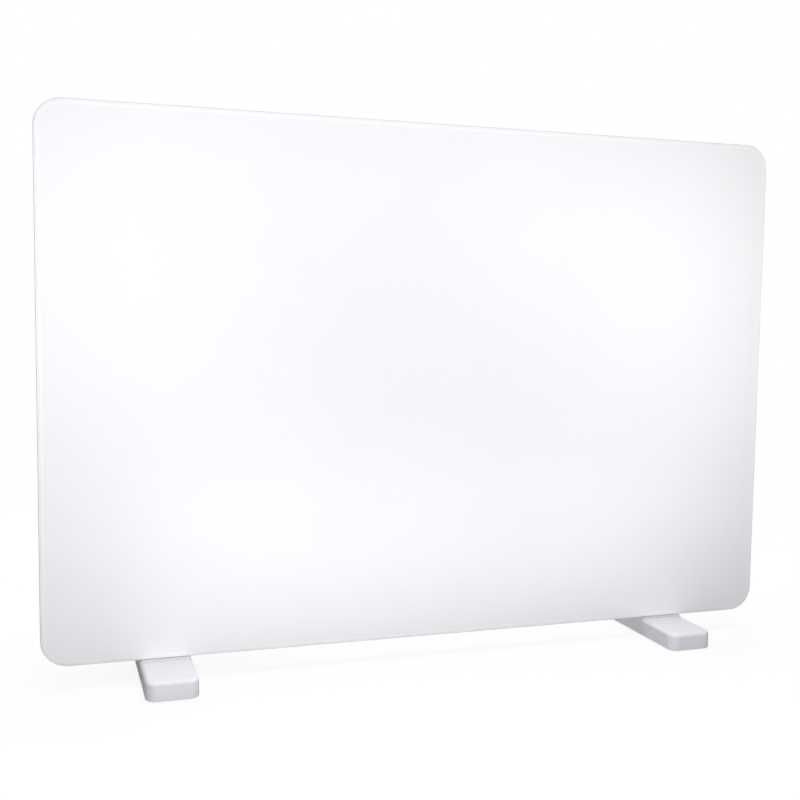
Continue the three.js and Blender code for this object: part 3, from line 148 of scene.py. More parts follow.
def addRod(name, start, axis, radius, length, sides=rodSides):
    deselect()
    bpy.ops.mesh.primitive_cylinder_add(vertices=sides, radius=radius, depth=length)
    piece = bpy.context.object
    piece.name = name
    moveTo(piece, (0, 0, length / 2))
    return moveTo(piece, start, turnTo[axis])


def pick(piece, wanted, kind):  # leaves the piece in edit mode with what is wanted selected
    only(piece)
    bpy.ops.object.mode_set(mode="EDIT")
    bpy.ops.mesh.select_mode(type=kind)
    bpy.ops.mesh.select_all(action="DESELECT")
    mesh = bmesh.from_edit_mesh(piece.data)
    parts = {"VERT": mesh.verts, "EDGE": mesh.edges, "FACE": mesh.faces}[kind]
    for part in parts:
        if wanted(part):
            part.select_set(True)
    mesh.select_flush_mode()
    bmesh.update_edit_mesh(piece.data)


def done():
    bpy.ops.object.mode_set(mode="OBJECT")


def runsAlong(axis):
    def wanted(edge):
        step = edge.verts[1].co - edge.verts[0].co
        return abs(step[axis]) > alongShare * step.length

    return wanted


def liesAt(axis, level):  # for edges and for faces
    return lambda part: all(abs(corner.co[axis] - level) < closeBy for corner in part.verts)


def bothOf(first, second):
    return lambda part: first(part) and second(part)


def edgesAt(along, axis, level):  # those that run along one axis at a level of another
    return bothOf(runsAlong(along), liesAt(axis, level))


def bevelEdges(piece, wanted, rounding):
    width, steps = rounding
    pick(piece, wanted, "EDGE")
    bpy.ops.mesh.bevel(offset=width, segments=steps, affect="EDGES")
    done()


def roundOff(piece, axis, level, corner, edge):  # its corners along an axis, and its rim at a level
    bevelEdges(piece, runsAlong(axis), corner)
    bevelEdges(piece, liesAt(axis, level), edge)
    return piece


def insideWall(rounding, wall, steps=None):  # the rounding that a wall of even thickness has inside
    return rounding[0] - wall, steps or rounding[1]


def combine(piece, forms, operation):
    only(forms[0])
    for form in forms[1:]:
        form.select_set(True)
    bpy.ops.object.join()
    only(piece)
    change = piece.modifiers.new("change", "BOOLEAN")
    change.operation = operation
    change.object = forms[0]
    change.solver = "EXACT"
    bpy.ops.object.modifier_apply(modifier=change.name)
    bpy.data.objects.remove(forms[0], do_unlink=True)


def joinTo(piece, forms):
    combine(piece, forms, "UNION")


def cutWith(piece, forms):
    combine(piece, forms, "DIFFERENCE")


def softenEdges(piece, rounding, angle=softAngle):
    only(piece)
    soft = piece.modifiers.new("soft", "BEVEL")
    soft.width, soft.segments = rounding
    soft.limit_method = "ANGLE"
    soft.angle_limit = math.radians(angle)
    bpy.ops.object.modifier_apply(modifier=soft.name)


def turnProfile(name, profile, sides):  # a turned form along Z from (radius, height) pairs
    radius, height = profile[0]
    deselect()
    bpy.ops.mesh.primitive_circle_add(
        vertices=sides, radius=radius, fill_type="NGON", location=(0, 0, height)
    )
    piece = bpy.context.object
    piece.name = name
    settle(piece)
    pick(piece, lambda face: True, "FACE")
    for (before, start), (after, end) in zip(profile, profile[1:]):
        bpy.ops.mesh.extrude_region_move(TRANSFORM_OT_translate={"value": (0, 0, end - start)})
        if after != before:
            bpy.ops.transform.resize(value=(after / before, after / before, 1))
    bpy.ops.mesh.select_all(action="SELECT")
    bpy.ops.mesh.normals_make_consistent(inside=False)
    done()
    return piece


def rim(radius, level, steps):  # (radius, height) pairs from insets and rises in millimetres
    return [(radius - inset * mm, level + rise * mm) for inset, rise in steps]


def copyPiece(piece, place, turn=(0, 0, 0)):
    only(piece)
    bpy.ops.object.duplicate(linked=False)
    return moveTo(bpy.context.object, place, turn)


def copyTo(piece, places):  # the piece and its copies, one at each place
    pieces = [copyPiece(piece, place) for place in places]
    bpy.data.objects.remove(piece, do_unlink=True)
    return pieces


def middle(node):
    low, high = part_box(node)
    return (low + high) / 2


def placesOf(nodes, axis, level=0):  # the nodes' middles, all at one level along an axis
    places = [middle(node) for node in nodes]
    for place in places:
        place[axis] = level
    return places


def rodsAt(nodes, axis, start, radius, length, sides=rodSides):  # one along an axis at each node
    place = Vector((0, 0, 0))
    place[axis] = start
    return copyTo(addRod("rod", place, axis, radius, length, sides), placesOf(nodes, axis))


def roomFor(size):  # an opening's size round what stands in it
    return [length + 2 * runGap for length in size]


def addFlutes(piece, count, depthShare, above):
    for step in range(fluteSteps):
        share = 1 - depthShare * abs(math.cos(math.pi * step / fluteSteps))

        def onStep(corner):
            turn = math.atan2(corner.co.y, corner.co.x) / (2 * math.pi) * count * fluteSteps
            return corner.co.z > above and round(turn) % fluteSteps == step

        pick(piece, onStep, "VERT")
        bpy.ops.transform.resize(value=(share, share, 1), center_override=(0, 0, 0))
        done()


def finishPiece(piece, name, body, slotName, replaced=(), finishNames=()):
    piece.name = name
    piece.data.name = name
    only(piece)
    bpy.ops.object.mode_set(mode="EDIT")
    bpy.ops.mesh.select_all(action="SELECT")
    bpy.ops.mesh.remove_doubles(threshold=mergeBy)
    done()
    bpy.ops.object.shade_smooth_by_angle(angle=math.radians(smoothAngle))
    even = piece.modifiers.new("even", "WEIGHTED_NORMAL")
    even.keep_sharp = True
    bpy.ops.object.modifier_apply(modifier=even.name)
    piece.data.materials.clear()
    for finish in finishNames or [finishFor(slotName)]:
        piece.data.materials.append(looks[finish])
    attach(piece, body)
    if replaced:
        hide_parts(*replaced)


# Materials. Each has a slow change between two tints, a patchy roughness between two values, each
# with the size of its patches, and a grain with its size and height. Some add specks (size, reach and
# colour), stripes (way, size, share and colour), a weave, or a grain drawn out along one axis.

tintDetail, patchDetail, grainDetail = 3, 4, 2
noiseSpan = (0.35, 0.65)  # the part of a noise's range that is used
bandScale = 0.3142  # gives a wave one band in each size
stripeEdge = 0.1
speckCoreShare = 0.6

sheath = {"roughness": (0.32, 0.48, 1 * mm), "grain": (0.5 * mm, 0.012 * mm)}  # of the plastic wires

finishes = {
    "enamelFront": {
        "tint": ((0.925, 0.93, 0.94), (0.915, 0.92, 0.932), 90 * mm),
        "roughness": (0.3, 0.36, 40 * mm), "grain": (160 * mm, 0.02 * mm),
        "shader": {"Coat Weight": 1.0, "Coat Roughness": 0.02, "Coat IOR": 1.7, "IOR": 1.5},
    },
    "bevelGlass": {  # the enamel lies behind clear glass, so its light doesn't turn with the bevel
        "tint": ((0.925, 0.92, 0.915), (0.918, 0.913, 0.908), 60 * mm),
        "roughness": (0.25, 0.32, 20 * mm), "grain": (12 * mm, 0.01 * mm),
        "facing": (0, -1, 0), "shader": {"Coat Weight": 1.0, "Coat Roughness": 0.03, "Coat IOR": 1.52},
    },
    # painted highlight: the crease is whiter than the enamel face and lit as the face, standing in for
    # a glint
    "creaseGlass": {
        "tint": ((0.995, 0.995, 0.995), (0.98, 0.98, 0.98), 60 * mm),
        "roughness": (0.2, 0.26, 20 * mm), "grain": (10 * mm, 0.005 * mm),
        "facing": (0, -1, 0), "shader": {"Coat Weight": 1.0, "Coat Roughness": 0.02, "Coat IOR": 1.52},
    },
    "arrisGlass": {  # beyond the enamel's edge the glass is clear and darker; its darker colour is also painted shade of the edge that turns away from the light
        "tint": ((0.735, 0.705, 0.68), (0.72, 0.69, 0.665), 60 * mm),
        "roughness": (0.25, 0.35, 6 * mm), "grain": (1.5 * mm, 0.01 * mm),
        "facing": (0, -1, 0), "shader": {"Coat Weight": 0.6, "Coat Roughness": 0.08},
    },
    "edgeGlass": {
        "tint": ((0.61, 0.635, 0.61), (0.54, 0.57, 0.545), 25 * mm),
        "roughness": (0.18, 0.3, 6 * mm), "grain": (1.5 * mm, 0.01 * mm),
        "shader": {"Coat Weight": 0.6, "Coat Roughness": 0.08},
    },
    "enamelBack": {
        "tint": ((0.88, 0.885, 0.89), (0.85, 0.855, 0.86), 30 * mm),
        "roughness": (0.38, 0.5, 8 * mm), "grain": (1.2 * mm, 0.01 * mm),
        "specks": (7 * mm, 0.035, (0.6, 0.6, 0.6)),
    },
    "silicone": {
        "tint": ((0.8, 0.8, 0.78), (0.7, 0.7, 0.68), 12 * mm),
        "roughness": (0.5, 0.68, 3 * mm), "grain": (2 * mm, 0.08 * mm),
        "shader": {"Subsurface Weight": 0.15, "Subsurface Scale": 2 * mm},
    },
    "powderCoat": {
        "tint": ((0.87, 0.87, 0.86), (0.858, 0.858, 0.849), 50 * mm),
        "roughness": (0.36, 0.5, 6 * mm), "grain": (1.3 * mm, 0.05 * mm),
        "specks": (5 * mm, 0.04, (0.78, 0.78, 0.77)),
    },
    "footPlastic": {
        "tint": ((0.8, 0.8, 0.83), (0.775, 0.775, 0.805), 25 * mm),
        "roughness": (0.5, 0.62, 3 * mm), "grain": (0.6 * mm, 0.035 * mm),
        "specks": (2.5 * mm, 0.06, (0.74, 0.73, 0.75)),
        "shader": {"Specular IOR Level": 0.3},
    },
    "boxPlastic": {
        "tint": ((0.86, 0.86, 0.85), (0.835, 0.835, 0.827), 30 * mm),
        "roughness": (0.42, 0.56, 3 * mm), "grain": (0.5 * mm, 0.03 * mm),
        "specks": (3 * mm, 0.05, (0.79, 0.79, 0.78)),
    },
    "darkPlastic": {
        "tint": ((0.045, 0.046, 0.05), (0.03, 0.031, 0.034), 8 * mm),
        "roughness": (0.34, 0.48, 2 * mm), "grain": (0.4 * mm, 0.02 * mm),
        "specks": (1.6 * mm, 0.06, (0.075, 0.076, 0.08)),
    },
    "markWhite": {
        "tint": ((0.88, 0.88, 0.87), (0.83, 0.83, 0.82), 2 * mm),
        "roughness": (0.45, 0.55, 1 * mm), "grain": (0.3 * mm, 0.008 * mm),
    },
    "markGrey": {
        "tint": ((0.13, 0.135, 0.14), (0.1, 0.104, 0.108), 2 * mm),
        "roughness": (0.5, 0.6, 1 * mm), "grain": (0.3 * mm, 0.008 * mm),
    },
    "rubber": {
        "tint": ((0.065, 0.065, 0.07), (0.035, 0.035, 0.038), 6 * mm),
        "roughness": (0.7, 0.9, 2 * mm), "grain": (0.6 * mm, 0.05 * mm),
        "specks": (1.5 * mm, 0.08, (0.12, 0.12, 0.12)),
    },
    "zincSteel": {  # turned and plated: fine rings show as a drawn grain
        "tint": ((0.7, 0.71, 0.73), (0.6, 0.61, 0.64), 3 * mm),
        "roughness": (0.24, 0.36, 1.2 * mm), "grain": (0.4 * mm, 0.006 * mm),
        "stretch": (1, 0.25, 1), "shader": {"Metallic": 1.0},
    },
    "brass": {
        "tint": ((0.8, 0.64, 0.33), (0.66, 0.5, 0.24), 4 * mm),
        "roughness": (0.2, 0.36, 1 * mm), "grain": (0.4 * mm, 0.015 * mm),
        "stretch": (1, 1, 0.2), "shader": {"Metallic": 1.0},
    },
    "copper": {  # rolled foil, drawn out along its length, tarnished in patches
        "tint": ((0.8, 0.44, 0.28), (0.55, 0.27, 0.17), 10 * mm),
        "roughness": (0.22, 0.42, 2 * mm), "grain": (0.5 * mm, 0.012 * mm),
        "stretch": (1, 1, 0.08), "shader": {"Metallic": 1.0},
    },
    "heatingFilm": {  # printed carbon tracks run between the bus bars
        "tint": ((0.11, 0.1, 0.095), (0.07, 0.065, 0.06), 9 * mm),
        "roughness": (0.35, 0.6, 3 * mm), "grain": (1 * mm, 0.03 * mm),
        "stripes": ("Z", 6 * mm, 0.78, (0.32, 0.27, 0.2)),
    },
    "mineralBoard": {  # pressed fibres with darker specks
        "tint": ((0.77, 0.72, 0.61), (0.63, 0.58, 0.48), 3 * mm),
        "roughness": (0.85, 0.97, 2 * mm), "grain": (0.8 * mm, 0.35 * mm),
        "stretch": (0.3, 1, 1), "specks": (4 * mm, 0.09, (0.42, 0.37, 0.29)),
    },
    "ceramic": {
        "tint": ((0.84, 0.8, 0.72), (0.76, 0.72, 0.64), 6 * mm),
        "roughness": (0.28, 0.5, 2 * mm), "grain": (0.6 * mm, 0.03 * mm),
        "specks": (1.8 * mm, 0.07, (0.55, 0.5, 0.42)),
    },
    "elementWire": {  # braided glass sleeve
        "tint": ((0.83, 0.81, 0.76), (0.72, 0.7, 0.65), 3 * mm),
        "roughness": (0.55, 0.7, 1 * mm), "grain": (0.5 * mm, 0.15 * mm),
        "weave": 0.9 * mm,
    },
    "liveWire": {"tint": ((0.22, 0.09, 0.035), (0.15, 0.06, 0.022), 5 * mm), **sheath},
    "neutralWire": {"tint": ((0.06, 0.16, 0.54), (0.04, 0.11, 0.4), 5 * mm), **sheath},
    "earthWire": {  # green with a yellow stripe wound round it
        "tint": ((0.16, 0.45, 0.08), (0.12, 0.36, 0.06), 5 * mm), **sheath,
        "stripes": ("DIAGONAL", 5 * mm, 0.6, (0.78, 0.66, 0.06)),
    },
}

finishOfSlot = {"terminal_ceramic": "ceramic", "enamelled_glass": "enamelFront"}


def finishFor(slotName):  # the others go by name: zinc_steel takes zincSteel
    first, *others = slotName.split("_")
    return finishOfSlot.get(slotName, first + "".join(word.title() for word in others))


def addNode(tree, kind, links, values=None):  # its sockets by name or number
    node = tree.nodes.new(f"ShaderNode{kind}")
    for socket, source in links.items():
        tree.links.new(source, node.inputs[socket])
    for socket, value in (values or {}).items():
        node.inputs[socket].default_value = value
    return node


def colourSocket(sockets, index=0):
    return [socket for socket in sockets if socket.type == "RGBA"][index]


def mixColours(tree, share, first, second):  # either colour may be a value or a node's output
    mix = addNode(tree, "Mix", {0: share})
    mix.data_type = "RGBA"
    for index, colour in enumerate([first, second]):
        socket = colourSocket(mix.inputs, index)
        if isinstance(colour, tuple):
            socket.default_value = (*colour, 1)
        else:
            tree.links.new(colour, socket)
    return colourSocket(mix.outputs)


def calculate(tree, operation, first, second):
    result = addNode(tree, "Math", {0: first, 1: second})
    result.operation = operation
    return result.outputs["Value"]


def addNoise(tree, place, size, detail):
    values = {"Scale": 1 / size, "Detail": detail}
    return addNode(tree, "TexNoise", {"Vector": place}, values).outputs["Fac"]


def addRange(tree, value, low, high, start=noiseSpan[0], end=noiseSpan[1]):
    values = {"From Min": start, "From Max": end, "To Min": low, "To Max": high}
    return addNode(tree, "MapRange", {"Value": value}, values).outputs["Result"]


def addStretch(tree, place, scale):
    return addNode(tree, "Mapping", {"Vector": place}, {"Scale": scale}).outputs["Vector"]


def addWave(tree, place, way, size):
    wave = addNode(tree, "TexWave", {"Vector": place}, {"Scale": bandScale / size, "Distortion": 0})
    wave.bands_direction = way
    return wave.outputs["Fac"]


def addStripes(tree, place, colour, way, size, share, stripeColour):
    wave = addWave(tree, place, way, size)
    return mixColours(tree, addRange(tree, wave, 0, 1, share, share + stripeEdge), colour, stripeColour)


def addSpecks(tree, place, colour, size, reach, speckColour):
    cells = addNode(tree, "TexVoronoi", {"Vector": place}, {"Scale": 1 / size})
    share = addRange(tree, cells.outputs["Distance"], 1, 0, reach * speckCoreShare, reach)
    return mixColours(tree, share, colour, speckColour)


def addWeave(tree, place, size, height):  # two crossing runs of threads
    first = addWave(tree, place, "DIAGONAL", size)
    second = addWave(tree, addStretch(tree, place, (1, -1, 1)), "DIAGONAL", size)
    return calculate(tree, "ADD", second, calculate(tree, "ADD", first, height))


def addFacing(tree, way):  # a fixed direction on the piece, whatever its faces' own
    fixed = addNode(tree, "VectorTransform", {}, {"Vector": way})
    fixed.vector_type = "NORMAL"
    fixed.convert_from = "OBJECT"
    fixed.convert_to = "WORLD"
    return fixed.outputs["Vector"]


def newMaterial(name, look):
    material = bpy.data.materials.new(name)
    material.use_nodes = True
    tree = material.node_tree
    shader = tree.nodes["Principled BSDF"]
    for socket, value in look.get("shader", {}).items():
        shader.inputs[socket].default_value = value
    place = addNode(tree, "TexCoord", {}).outputs["Object"]

    light, dark, tintSize = look["tint"]
    clouds = addRange(tree, addNoise(tree, place, tintSize, tintDetail), 0, 1)
    colour = mixColours(tree, clouds, light, dark)
    if "stripes" in look:
        colour = addStripes(tree, place, colour, *look["stripes"])
    if "specks" in look:
        colour = addSpecks(tree, place, colour, *look["specks"])
    tree.links.new(colour, shader.inputs["Base Color"])

    smooth, rough, patchSize = look["roughness"]
    patches = addNoise(tree, place, patchSize, patchDetail)
    tree.links.new(addRange(tree, patches, smooth, rough), shader.inputs["Roughness"])

    grainSize, grainHeight = look["grain"]
    grainPlace = addStretch(tree, place, look["stretch"]) if "stretch" in look else place
    height = addNoise(tree, grainPlace, grainSize, grainDetail)
    if "weave" in look:
        height = addWeave(tree, place, look["weave"], height)
    bump = addNode(tree, "Bump", {"Height": height}, {"Distance": grainHeight})
    if "facing" in look:
        tree.links.new(addFacing(tree, look["facing"]), bump.inputs["Normal"])
    tree.links.new(bump.outputs["Normal"], shader.inputs["Normal"])
    return material


looks = {name: newMaterial(name, look) for name, look in finishes.items()}
print("materials made:", len(looks))


# Stage: a white floor that keeps the shadow, and a white surround

stage = {
    "floorHalf": 4.0,
    "floorSeen": (0.9, 0.9, 0.9),
    "floorBounce": (0.4, 0.4, 0.41),
    "floorRoughness": 0.9,
    "nearGlow": 0.87,  # the rest shows the paint, with the shadow on it
    "glowFade": (0.55, 1.4),
    "mirrorFade": (0.25, 0.8),  # the near floor is grey in the glass, so the feet show in it
    "ambient": 0.09,
}


def seenDirectly(tree):  # 1 for camera, glossy and transmission rays
    path = addNode(tree, "LightPath", {}).outputs
    mirrored = calculate(tree, "MAXIMUM", path["Is Glossy Ray"], path["Is Transmission Ray"])
    return calculate(tree, "MAXIMUM", path["Is Camera Ray"], mirrored)


def blendShaders(tree, share, first, second, output):
    blend = addNode(tree, "MixShader", {"Fac": share, 1: first, 2: second})
    tree.links.new(blend.outputs["Shader"], tree.nodes[output].inputs["Surface"])


def addFloor():
    deselect()
    bpy.ops.mesh.primitive_plane_add(size=2 * stage["floorHalf"])
    floor = bpy.context.object
    floor.name = "floor"
    material = bpy.data.materials.new("whiteFloor")
    material.use_nodes = True
    tree = material.node_tree
    seen = seenDirectly(tree)
    fromCamera = addNode(tree, "LightPath", {}).outputs["Is Camera Ray"]
    paint = tree.nodes["Principled BSDF"]
    paint.inputs["Roughness"].default_value = stage["floorRoughness"]
    colour = mixColours(tree, fromCamera, stage["floorBounce"], stage["floorSeen"])
    tree.links.new(colour, paint.inputs["Base Color"])

    place = addNode(tree, "TexCoord", {}).outputs["Object"]
    distance = addNode(tree, "VectorMath", {0: place})
    distance.operation = "LENGTH"
    far = distance.outputs["Value"]
    mirrored = addRange(tree, far, 0, 1, *stage["mirrorFade"])
    bare = addRange(tree, far, stage["nearGlow"], 1, *stage["glowFade"])
    share = calculate(tree, "MAXIMUM", calculate(tree, "MULTIPLY", fromCamera, bare), mirrored)
    shown = calculate(tree, "MULTIPLY", seen, share)
    glow = addNode(tree, "Emission", {}).outputs["Emission"]
    blendShaders(tree, shown, paint.outputs["BSDF"], glow, "Material Output")
    floor.data.materials.append(material)


def addSurround():
    world = bpy.data.worlds.new("surround")
    world.use_nodes = True
    scene.world = world
    tree = world.node_tree
    ambient = tree.nodes["Background"]
    ambient.inputs["Color"].default_value = (1, 1, 1, 1)
    ambient.inputs["Strength"].default_value = stage["ambient"]
    white = addNode(tree, "Background", {}, {"Color": (1, 1, 1, 1), "Strength": 1})
    backgrounds = [node.outputs["Background"] for node in [ambient, white]]
    blendShaders(tree, seenDirectly(tree), *backgrounds, "World Output")


lamps = {  # place, target, width and height, spread in degrees, power, colour where it isn't white
    "overhead": [(0, 0, 1.5), (0, 0, 0), (0.8, 0.8), 180, 16.8, (1, 0.985, 0.98)],
    "front": [(-0.2, -0.7, 0.35), (0, 0, 0.2), (0.5, 0.5), 180, 3.3, (0.96, 0.978, 1)],
    "frontHigh": [(0.2, -0.7, 0.9), (0, 0, 0.2), (0.5, 0.5), 180, 0.82, (0.98, 0.99, 1)],
    "topWash": [(0.08, -0.4, 0.37), (0.08, 0, 0.37), (0.4, 0.1), 70, 0.042],
    "lowWash": [(0, -0.3, 0.12), (0, 0, 0.12), (0.48, 0.1), 60, 0.032],
    "lowEdge": [(0, -0.3, 0.07), (0, 0, 0.08), (0.46, 0.06), 40, 0.015],
    "lowLine": [(-0.02, -0.25, 0.05), (-0.02, 0, 0.055), (0.44, 0.04), 40, 0.006],
    "lowRight": [(0.2, -0.3, 0.13), (0.2, 0, 0.13), (0.16, 0.12), 60, 0.009],
    "rightWash": [(0.16, -0.3, 0.3), (0.16, 0, 0.3), (0.2, 0.2), 70, 0.025],
    "rightEdge": [(0.3, -0.35, 0.3), (0.26, 0, 0.27), (0.1, 0.26), 50, 0.026],
    "leftEdge": [(-0.3, -0.5, 0.3), (-0.28, 0, 0.3), (0.1, 0.2), 50, 0.024],
    "rearRight": [(0.9, 1.3, 0.9), (0, 0, 0.2), (0.9, 0.9), 180, 12],
    "rearLeft": [(-0.45, 1.35, 0.8), (-0.1, 0, 0.2), (0.7, 0.7), 180, 7],
}


def addLamp(name, place, target, size, spread, power, colour=(1, 1, 1)):
    bpy.ops.object.light_add(type="AREA", location=place)
    light = bpy.context.object
    light.name = name
    light.data.shape = "RECTANGLE"
    light.data.size, light.data.size_y = size
    light.data.spread = math.radians(spread)
    light.data.energy = power
    light.data.color = colour
    light.visible_camera = False
    light.visible_glossy = False
    towards = Vector(target) - Vector(place)
    light.rotation_euler = towards.to_track_quat("-Z", "Y").to_euler()


addFloor()
addSurround()
for lampName, values in lamps.items():
    addLamp(lampName, *values)
print("stage set")


# Glass front: its bevel, the thin crease inside it with a painted highlight, and an arris on each sharp
# edge

glass = {
    "corner": (20 * mm, 24),
    "bevelWidth": 3 * mm,
    "bevelDepth": 0.75 * mm,
    "arris": (1.1 * mm, 3),
    "crease": (0.9 * mm, 3),
    "frontShare": 0.9999,  # how far a face looks forward, where 1 is straight ahead
    "slopeBand": 0.002,  # the bevel's own share, give or take this
    "arrisShare": 0.1,
    "backShare": 0.999,
}


def glassZone(forward, slope):
    if forward > glass["frontShare"]:
        return "enamelFront"
    if forward > slope + glass["slopeBand"]:
        return "creaseGlass"
    if forward > slope - glass["slopeBand"]:
        return "bevelGlass"
    if forward > glass["arrisShare"]:
        return "arrisGlass"
    return "enamelBack" if forward < -glass["backShare"] else "edgeGlass"


def makeGlass():
    low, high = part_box("glass_panel")
    bevelBack = low.y + glass["bevelDepth"]
    slopeWidth = glass["bevelWidth"] - glass["arris"][0]
    piece = addBlock("glass", (low.x, bevelBack, low.z), high)
    roundOff(piece, yAxis, high.y, glass["corner"], glass["arris"])
    bevelEdges(piece, liesAt(yAxis, bevelBack), glass["arris"])
    pick(piece, liesAt(yAxis, bevelBack), "FACE")
    bpy.ops.mesh.inset(thickness=slopeWidth, depth=glass["bevelDepth"])
    done()
    bevelEdges(piece, liesAt(yAxis, low.y), glass["crease"])
    zones = ["enamelFront", "bevelGlass", "creaseGlass", "arrisGlass", "edgeGlass", "enamelBack"]
    finishPiece(piece, "glass_front", "heater", "enamelled_glass", ["glass_panel"], zones)
    slope = math.cos(math.atan2(glass["bevelDepth"], slopeWidth))
    for face in piece.data.polygons:
        face.material_index = zones.index(glassZone(-face.normal.y, slope))


makeGlass()
print("glass made")


# Steel casing: a flanged tray with stiffening beads

casing = {
    "sheet": 1 * mm,
    "flange": 12 * mm,
    "flangeCorner": (8 * mm, 8),
    "corner": (10 * mm, 10),
    "edge": (3 * mm, 5),
    "bend": (1 * mm, 3),
    "bead": (380 * mm, 14 * mm),
    "beadHeight": 2 * mm,
    "beadCount": 3,
    "beadEnd": (0.499, 10),  # this one's width is a share of the bead's: nearly a half circle
    "beadEdge": (1.2 * mm, 3),
    "beadInnerEdge": (0.6 * mm, 3),
    "nutHole": 2.8 * mm,
    "screwHole": 1.9 * mm,
    "grommetHole": 6 * mm,
}


def bead(name, front, back, length, width, edge):
    piece = addBar(name, (0, 0, 0), (length, width), yAxis, front, back)
    share, steps = casing["beadEnd"]
    return roundOff(piece, yAxis, back, (share * width, steps), edge)


def insideOf(low, high):  # within the tray's outline, its own edge included
    def wanted(edge):
        return all(
            low.x - closeBy < corner.co.x < high.x + closeBy
            and low.z - closeBy < corner.co.z < high.z + closeBy
            for corner in edge.verts
        )

    return wanted


def makeCasing():
    low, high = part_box("rear_casing")
    sheet, flange = casing["sheet"], casing["flange"]
    back = high.y - casing["beadHeight"]
    piece = addBlock("casing", low, (high.x, low.y + sheet, high.z))
    bevelEdges(piece, runsAlong(yAxis), casing["flangeCorner"])
    outerLow = Vector((low.x + flange, low.y + sheet / 2, low.z + flange))
    outerHigh = Vector((high.x - flange, back, high.z - flange))
    outer = addBlock("outer", outerLow, outerHigh)
    roundOff(outer, yAxis, outerHigh.y, casing["corner"], casing["edge"])
    joinTo(piece, [outer])

    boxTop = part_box("control_box_cover")[1].z
    count, top = casing["beadCount"], outerHigh.z
    places = [(0, 0, boxTop + (i + 1) * (top - boxTop) / (count + 1)) for i in range(count)]
    length, width = casing["bead"]
    outerBead = bead("bead", back - sheet / 2, high.y, length, width, casing["beadEdge"])
    joinTo(piece, copyTo(outerBead, places))
    bendEdges = bothOf(liesAt(yAxis, low.y + sheet), insideOf(outerLow, outerHigh))
    bevelEdges(piece, bendEdges, casing["bend"])

    wall = Vector((sheet, 0, sheet))
    innerLow = Vector((outerLow.x, low.y - sheet, outerLow.z)) + wall
    innerHigh = Vector((outerHigh.x, back - sheet, outerHigh.z)) - wall
    hollow = addBlock("hollow", innerLow, innerHigh)
    corner, edge = insideWall(casing["corner"], sheet), insideWall(casing["edge"], sheet)
    cutWith(piece, [roundOff(hollow, yAxis, innerHigh.y, corner, edge)])
    length, width = length - 2 * sheet, width - 2 * sheet
    innerBead = bead("hollow", back - 2 * sheet, high.y - sheet, length, width, casing["beadInnerEdge"])
    cutWith(piece, copyTo(innerBead, places))

    start, depth = back - 2 * sheet, 4 * sheet
    boxScrews = ["base_screw_1", "base_screw_2", "earth_screw"]
    holes = rodsAt(thumbscrewNodes, yAxis, start, casing["nutHole"], depth)
    holes += rodsAt(boxScrews, yAxis, start, casing["screwHole"], depth)
    holes += rodsAt(["casing_grommet"], yAxis, start, casing["grommetHole"], depth)
    cutWith(piece, holes)
    finishPiece(piece, "casing", "heater", "powder_coat", ["rear_casing"])


makeCasing()
print("casing made")


# Fasteners with a cross recess, and the thumbscrews

coverScrew = {"head": 2.9 * mm, "height": 1.6 * mm, "shank": 1.5 * mm, "length": 13 * mm}
footScrew = {"head": 4.5 * mm, "height": 2.8 * mm, "shank": 2.5 * mm}

panHead = {  # shares of the head's radius and height
    "crown": [(0.97, 0), (1, 0.12), (1, 0.35), (0.93, 0.68), (0.78, 0.88), (0.5, 0.98), (0.2, 1)],
    "sides": 32,
    "crossLength": 0.62,
    "crossWidth": 0.13,
    "crossBottom": 0.45,
    "crossTop": 1.2,
    "crossTaper": 0.7,
}

thread = {  # shares of the shank's radius, and of the head's height for the sink
    "sides": 20,
    "pitch": 0.55,
    "tip": 0.5,
    "root": 0.8,
    "sink": 0.3,
}


def panScrew(size, axis, length):
    head, tall, shank = size["head"], size["height"], size["shank"]
    crown = [(head * across, tall * up) for across, up in panHead["crown"]]
    piece = turnProfile("screw", crown, panHead["sides"])
    reach, width = head * panHead["crossLength"], head * panHead["crossWidth"]
    bottom, top = tall * panHead["crossBottom"], tall * panHead["crossTop"]
    cross = addBar("across", (0, 0, 0), (2 * reach, 2 * width), zAxis, bottom, top)
    along = addBar("along", (0, 0, 0), (2 * width, 2 * reach), zAxis, bottom, top)
    joinTo(cross, [along])
    pick(cross, liesAt(zAxis, bottom), "FACE")
    bpy.ops.transform.resize(value=(panHead["crossTaper"], panHead["crossTaper"], 1))
    done()
    cutWith(piece, [cross])

    turns = int(length / (shank * thread["pitch"]))
    profile = [(shank * thread["tip"], -length)]
    for i in range(turns):
        radius = shank * (thread["root"] if i % 2 else 1)
        profile.append((radius, (i + 0.5) * length / turns - length))
    profile.append((shank * thread["root"], tall * thread["sink"]))
    joinTo(piece, [turnProfile("shank", profile, thread["sides"])])
    return moveTo(piece, (0, 0, 0), turnTo[axis])


def finishFasteners(piece, nodes, axis, tall, slotName, word, newWord):  # a copy replaces each node
    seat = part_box(nodes[0])[1][axis] - tall
    for twin, node in zip(copyTo(piece, placesOf(nodes, axis, seat)), nodes):
        finishPiece(twin, node.replace(word, newWord), "heater", slotName, [node])


def makeCoverScrews():
    screw = panScrew(coverScrew, yAxis, coverScrew["length"])
    finishFasteners(screw, coverScrewNodes, yAxis, coverScrew["height"], "zinc_steel", "cover", "box")


def makeFootScrews():
    low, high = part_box(footScrewNodes[0])
    screw = panScrew(footScrew, zAxis, high.z - footScrew["height"] - low.z)
    finishFasteners(screw, footScrewNodes, zAxis, footScrew["height"], "zinc_steel", "screw", "bolt")


thumb = {
    "radius": 8 * mm,
    "height": 8 * mm,
    "lowerRim": [(1, 0), (0.3, 0.3), (0, 1)],
    "upperRim": [(0, -1.2), (0.35, -0.35), (1.2, 0), (2.4, 0), (2.9, -0.6)],
    "fluteCount": 12,
    "fluteDepth": 0.8 * mm,
    "shank": 2.5 * mm,
    "shankSides": 24,
    "shankSink": 1 * mm,
}


